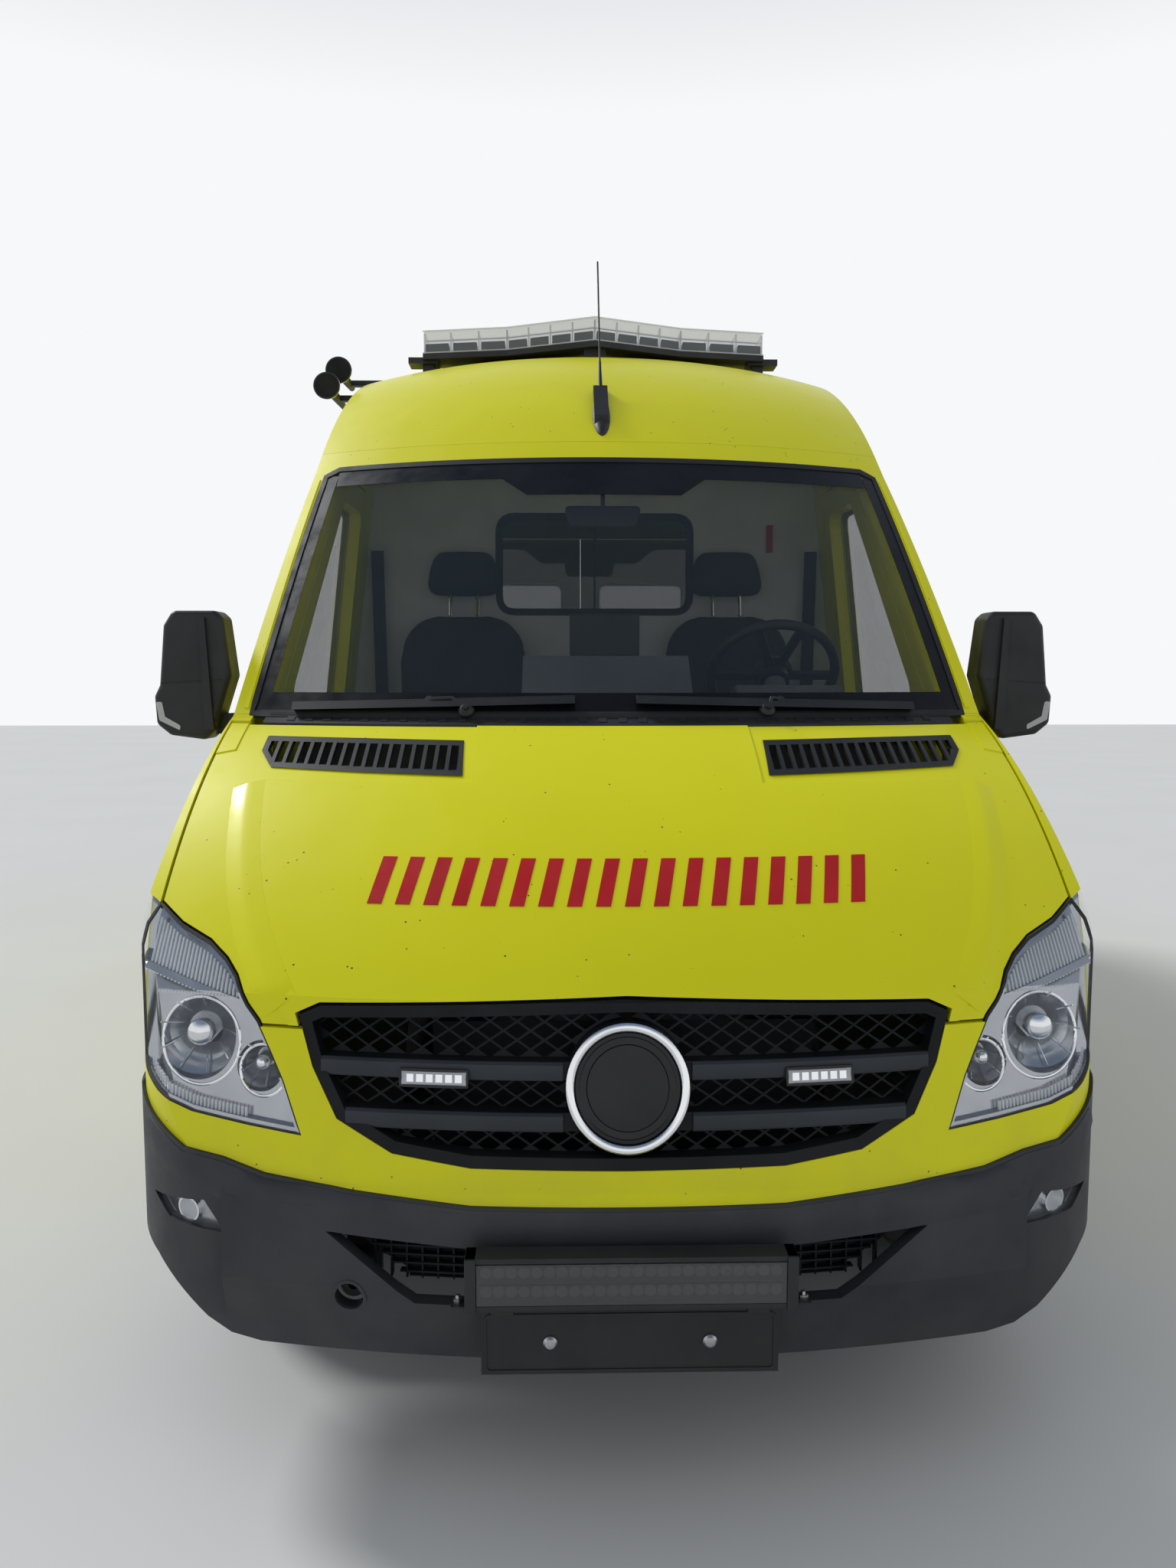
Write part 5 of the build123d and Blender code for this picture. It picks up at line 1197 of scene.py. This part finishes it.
def tread_blocks(place):
    """Rows of blocks on a crown that falls off towards the shoulders."""
    depth = 0.012
    pitch = 2 * pi / TREAD_COUNT
    blocks = Shape()
    for start, width, shift in TREAD_ROWS:
        for i in range(TREAD_COUNT):
            a0 = 2 * pi * (i + shift) / TREAD_COUNT
            a1 = a0 + pitch * 0.76
            ends = []
            for x in (start, start + width):
                crown = 0.3556 - 0.0035 * (abs(x) / 0.09) ** 2
                corners = ((a0, crown - depth), (a1, crown - depth), (a1, crown), (a0, crown))
                ends.append([place(x, r, a) for a, r in corners])
            blocks.rings(ends)
    return blocks


def wheel_details(axle, side, end, station):
    name = axle + "_" + end
    body = "wheel_" + name
    tyre = "tyre_" + name
    place = wheel_places(side, station)
    whole = add_piece("tyre_carcass_" + name, tyre_carcass(place), "tyre", body, sharp=50)
    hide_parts(tyre)
    add_piece("tyre_tread_" + name, tread_blocks(place), "tyre", body, sharp=30)
    profile = ((0, 0.0135), (0.004, 0.0135), (0.004, 0.0105), (0.024, 0.01), (0.027, 0.006))
    nuts = Shape()
    for k in range(WHEEL_NUTS):
        nuts.lathe(place(side * 0.04, 0.065, radians(60 * k + 30)), (side, 0, 0), profile, 6)
    add_piece("wheel_nuts_" + name, nuts, "alloy", body)
    profile = ((0, 0.036), (0.01, 0.034), (0.016, 0.026), (0.018, 0.006))
    cap = Shape().lathe(place(side * 0.05), (side, 0, 0), profile, 32)
    add_piece("wheel_cap_" + name, cap, "black", body)


# Cab


def bake(thing):
    """Turns an object's modifiers into plain mesh."""
    depsgraph = bpy.context.evaluated_depsgraph_get()
    data = bpy.data.meshes.new_from_object(thing.evaluated_get(depsgraph))
    thing.modifiers.clear()
    thing.data = data


def swell(pad, cap):
    """Pressure from inside by a cloth simulation, with no point moved further than the cap."""
    before = [v.co.copy() for v in pad.data.vertices]
    cloth = pad.modifiers.new("swell", "CLOTH")
    settings = cloth.settings
    settings.use_pressure = True
    settings.uniform_pressure_force = 4.0
    settings.effector_weights.gravity = 0
    settings.quality = 4
    cloth.point_cache.frame_start = 1
    cloth.point_cache.frame_end = CLOTH_FRAMES
    for number in range(1, CLOTH_FRAMES + 1):
        bpy.context.scene.frame_set(number)
    bake(pad)
    bpy.context.scene.frame_set(1)
    for vertex, old in zip(pad.data.vertices, before):
        move = vertex.co - old
        if move.length > cap:
            vertex.co = old + move * (cap / move.length)


def cushion(name, outlines, cap):
    """Padded block between two outlines."""
    pad = add_piece(name, Shape().rings(outlines), "fabric")
    bpy.context.view_layer.objects.active = pad
    edge = pad.modifiers.new("round", "BEVEL")
    edge.width = 0.03
    edge.segments = 4
    remesh = pad.modifiers.new("remesh", "REMESH")
    remesh.mode = "VOXEL"
    remesh.voxel_size = 0.012
    bake(pad)
    swell(pad, cap)
    smooth = pad.modifiers.new("smooth", "SMOOTH")
    smooth.factor = 0.6
    smooth.iterations = 4
    bake(pad)
    smoothed(pad.data)
    return pad


def copy_across(pad, name):
    """The same pad on the other side of the cab."""
    data = pad.data.copy()
    data.transform(Matrix.Diagonal((-1, 1, 1, 1)))
    data.flip_normals()
    twin = in_scene(name, data)
    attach(twin, ROOT)
    return twin


def side_block(x0, x1, points):
    """Two facing outlines of a block in side view between two widths."""
    return [[at(x, s, z) for s, z in points] for x in (x0, x1)]


def leaning_block(x, half, near, far):
    """Two facing outlines in front view, each leaning along a line of (station, height) pairs."""
    outlines = []
    for (s0, z0), (s1, z1) in (near, far):
        outlines.append([at(x + dx, s0 + (s1 - s0) * (z - z0) / (z1 - z0), z) for dx, z in mirrored(half)])
    return outlines


def seats():
    x = SEAT_X
    base = cushion("seat_cushion_left", side_block(x - 0.245, x + 0.245, SEAT_BASE), 0.022)
    back = cushion("seat_back_left", leaning_block(x, BACK_HALF, *BACK_LEAN), 0.022)
    head = cushion("seat_headrest_left", leaning_block(x, HEAD_HALF, *HEAD_LEAN), 0.014)
    pads = [base, back, head]
    pads += [copy_across(pad, pad.name.replace("left", "right")) for pad in pads]
    stands = Shape()
    posts = Shape()
    seams = Shape()
    for x in (SEAT_X, -SEAT_X):
        stands.box(at(x - 0.19, 1.8, 0.6805), at(x + 0.19, 2.18, 0.945))
        stands.box(at(x - 0.23, 1.74, 0.94), at(x + 0.23, 2.16, 0.962))
        for dx in (-0.05, 0.05):
            posts.tube([at(x + dx, 2.235, 1.76), at(x + dx, 2.262, 1.87)], 0.007, 10)
        for dx in (-0.115, 0.115):
            seams.tube([at(x + dx, s - 0.012, z) for s, z in SEAM], 0.004, 6)
    add_piece("seat_stands", stands, "black", bevel=0.004)
    add_piece("seat_posts", posts, "chrome")
    add_piece("seat_seams", seams, "rubber")
    for pad in pads:
        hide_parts("seats")


def bulkhead_trim():
    outline = rounded(oblong(-0.355, 1.78, 0.355, 2.13), 0.06)
    face = upright(FRONT_Y + 2.337)
    section = (0.026, -0.004, 0.006)
    strip_piece("bulkhead_window_seal", outline, 0.05, section, "rubber", face, True, bevel=0.002)
    divider = Shape().box(at(-0.003, 2.345, 1.781), at(0.003, 2.351, 2.129))
    add_piece("bulkhead_window_divider", divider, "rubber")


def dash_details():
    vents = Shape()
    for x0, x1 in ((-0.76, -0.6), (0.62, 0.78), (-0.2, -0.04), (0.04, 0.2)):
        for k in range(VENT_SLATS):
            z = 1.318 + k * 0.014
            vents.box(at(x0, 1.408, z), at(x1, 1.42, z + 0.005))
    add_piece("dash_vents", vents, "black", bevel=0.001)
    tablet = Shape().box(at(-0.1, 1.3, 1.6), at(0.1, 1.325, 1.72))
    tablet.tube([at(0, 1.312, 1.56), at(0, 1.312, 1.61)], 0.012, 12)
    add_piece("dash_tablet", tablet, "black", bevel=0.005)
    profile = ((1.12, 1.4305), (1.36, 1.4305), (1.33, 1.5), (1.2, 1.52))
    hood = Shape().prism([at(0.36, s, z) for s, z in profile], (0.3, 0, 0))
    add_piece("dash_cluster_hood", hood, "trim", bevel=0.008)
    tray = Shape().box(at(-0.66, 1.02, 1.4305), at(-0.3, 1.2, 1.437))
    add_piece("dash_tray", tray, "rubber", bevel=0.002)


def inner_mirror():
    outline = rounded([(-0.1, 1.985), (0.1, 1.985), (0.115, 2.045), (-0.115, 2.045)], 0.015)
    mirror = Shape().prism(standing(outline, FRONT_Y + 1.46), (0, 0.03, 0))
    mirror.tube([at(0, 1.47, 2.03), at(0, 1.44, 2.135)], 0.007, 8)
    add_piece("cab_mirror", mirror, "black", bevel=0.003)


def belts():
    cutter = Shape().box(at(0.64, 2.322, 2.0), at(0.662, 2.337, 2.1))
    add_piece("belt_cutter", cutter, "red_film", bevel=0.003)
    half = 0.023
    webbing = Shape()
    for side in SIDES:
        path = [Vector(at(side * x, s, z)) for x, s, z in BELT]
        for a, b in zip(path, path[1:]):
            section = [(a.x + dx, a.y + dy, a.z) for dx, dy in oblong(-half, 0, half, 0.002)]
            webbing.prism(section, b - a)
    add_piece("seat_belts", webbing, "rubber")


def wheel_boss():
    centre = Vector(at(0.51, 1.45, 1.55))
    tilt = radians(40)
    axis = Vector((0, cos(tilt), sin(tilt)))
    profile = ((0, 0.06), (0.006, 0.058), (0.012, 0.045), (0.014, 0.01))
    add_piece("wheel_boss", Shape().lathe(centre + axis * 0.008, axis, profile, 36), "trim", "steering_wheel")


# Stage


def stage_floor():
    bpy.ops.mesh.primitive_plane_add(size=60, location=(0, 0, 0))
    floor = bpy.context.object
    floor.name = "stage_floor"
    pale = new_material("stage_pale", (0.62, 0.62, 0.61), 0.9, Specular_IOR_Level=0.1)
    mottle(pale, 0.7, (0.58, 0.58, 0.57), 0.5)
    floor.data.materials.append(pale)


def sky_colours(world):
    """Pale at the horizon and blue above, as seen directly, in gloss and through glass."""
    ramp = add_node(world, "ShaderNodeValToRGB", {"Fac": axes_of(world, "Generated")["Z"]})
    stops = ((0.42, (0.93, 0.94, 0.95, 1)), (0.8, (0.16, 0.22, 0.32, 1)))
    for element, (position, colour) in zip(ramp.color_ramp.elements, stops):
        element.position = position
        element.color = colour
    return ramp.outputs["Color"]


def world_light():
    world = bpy.data.worlds.new("studio")
    bpy.context.scene.world = world
    world.use_nodes = True
    nodes = world.node_tree.nodes
    back = nodes["Background"]
    feed(world, back, {"Color": (0.9, 0.94, 1.0, 1), "Strength": WORLD_LIGHT})
    seen = add_node(world, "ShaderNodeBackground", {"Color": sky_colours(world), "Strength": 1.0})
    paths = add_node(world, "ShaderNodeLightPath", {}).outputs
    sight = paths["Is Camera Ray"]
    for kind in ("Is Glossy Ray", "Is Transmission Ray"):
        sight = combine(world, sight, paths[kind], "MAXIMUM")
    mix = add_node(world, "ShaderNodeMixShader", {"Fac": sight, 1: back.outputs[0], 2: seen.outputs[0]})
    feed(world, nodes["World Output"], {"Surface": mix.outputs[0]})


def sun():
    lamp = bpy.data.lights.new("key", "SUN")
    lamp.energy = KEY_LIGHT
    lamp.angle = radians(KEY_SPREAD)
    key = in_scene("key", lamp)
    key.rotation_euler = (radians(KEY_TILT), 0, radians(KEY_TURN))


def camera():
    data = bpy.data.cameras.new("view")
    data.lens = CAMERA_LENS
    data.sensor_width = 36
    data.clip_end = 200
    eye = in_scene("view", data)
    eye.location = CAMERA_PLACE
    eye.rotation_euler = (pi / 2 - CAMERA_PITCH, 0, -CAMERA_YAW)
    bpy.context.scene.camera = eye


camera()
dress_nodes()
screen_trim()
for wiper_values in WIPERS:
    wiper(*wiper_values)
cowl_trim()
bonnet_creases()
bonnet_marks()
badge()
slat_faces()
strobes()
driving_bar()
plate_caps()
bumper_trim()
intake_details()
fog_details()
for lead, place_name in ENDS:
    for detail in (lamp_details, mirror_details, door_trim, side_trim):
        detail(lead, place_name)
    for axle_name, axle_station in AXLES:
        wheel_details(axle_name, lead, place_name, axle_station)
sliding_door_trim()
for lead, place_name in ENDS:
    rear_door_trim(lead, place_name)
    rear_lamp_trim(lead, place_name)
rear_handle()
rear_step()
light_bar_inside()
aerial_skirt()
horn_mouth_shades()
seats()
bulkhead_trim()
dash_details()
inner_mirror()
belts()
wheel_boss()
stage_floor()
world_light()
sun()
bpy.context.scene.view_settings.view_transform = "Standard"
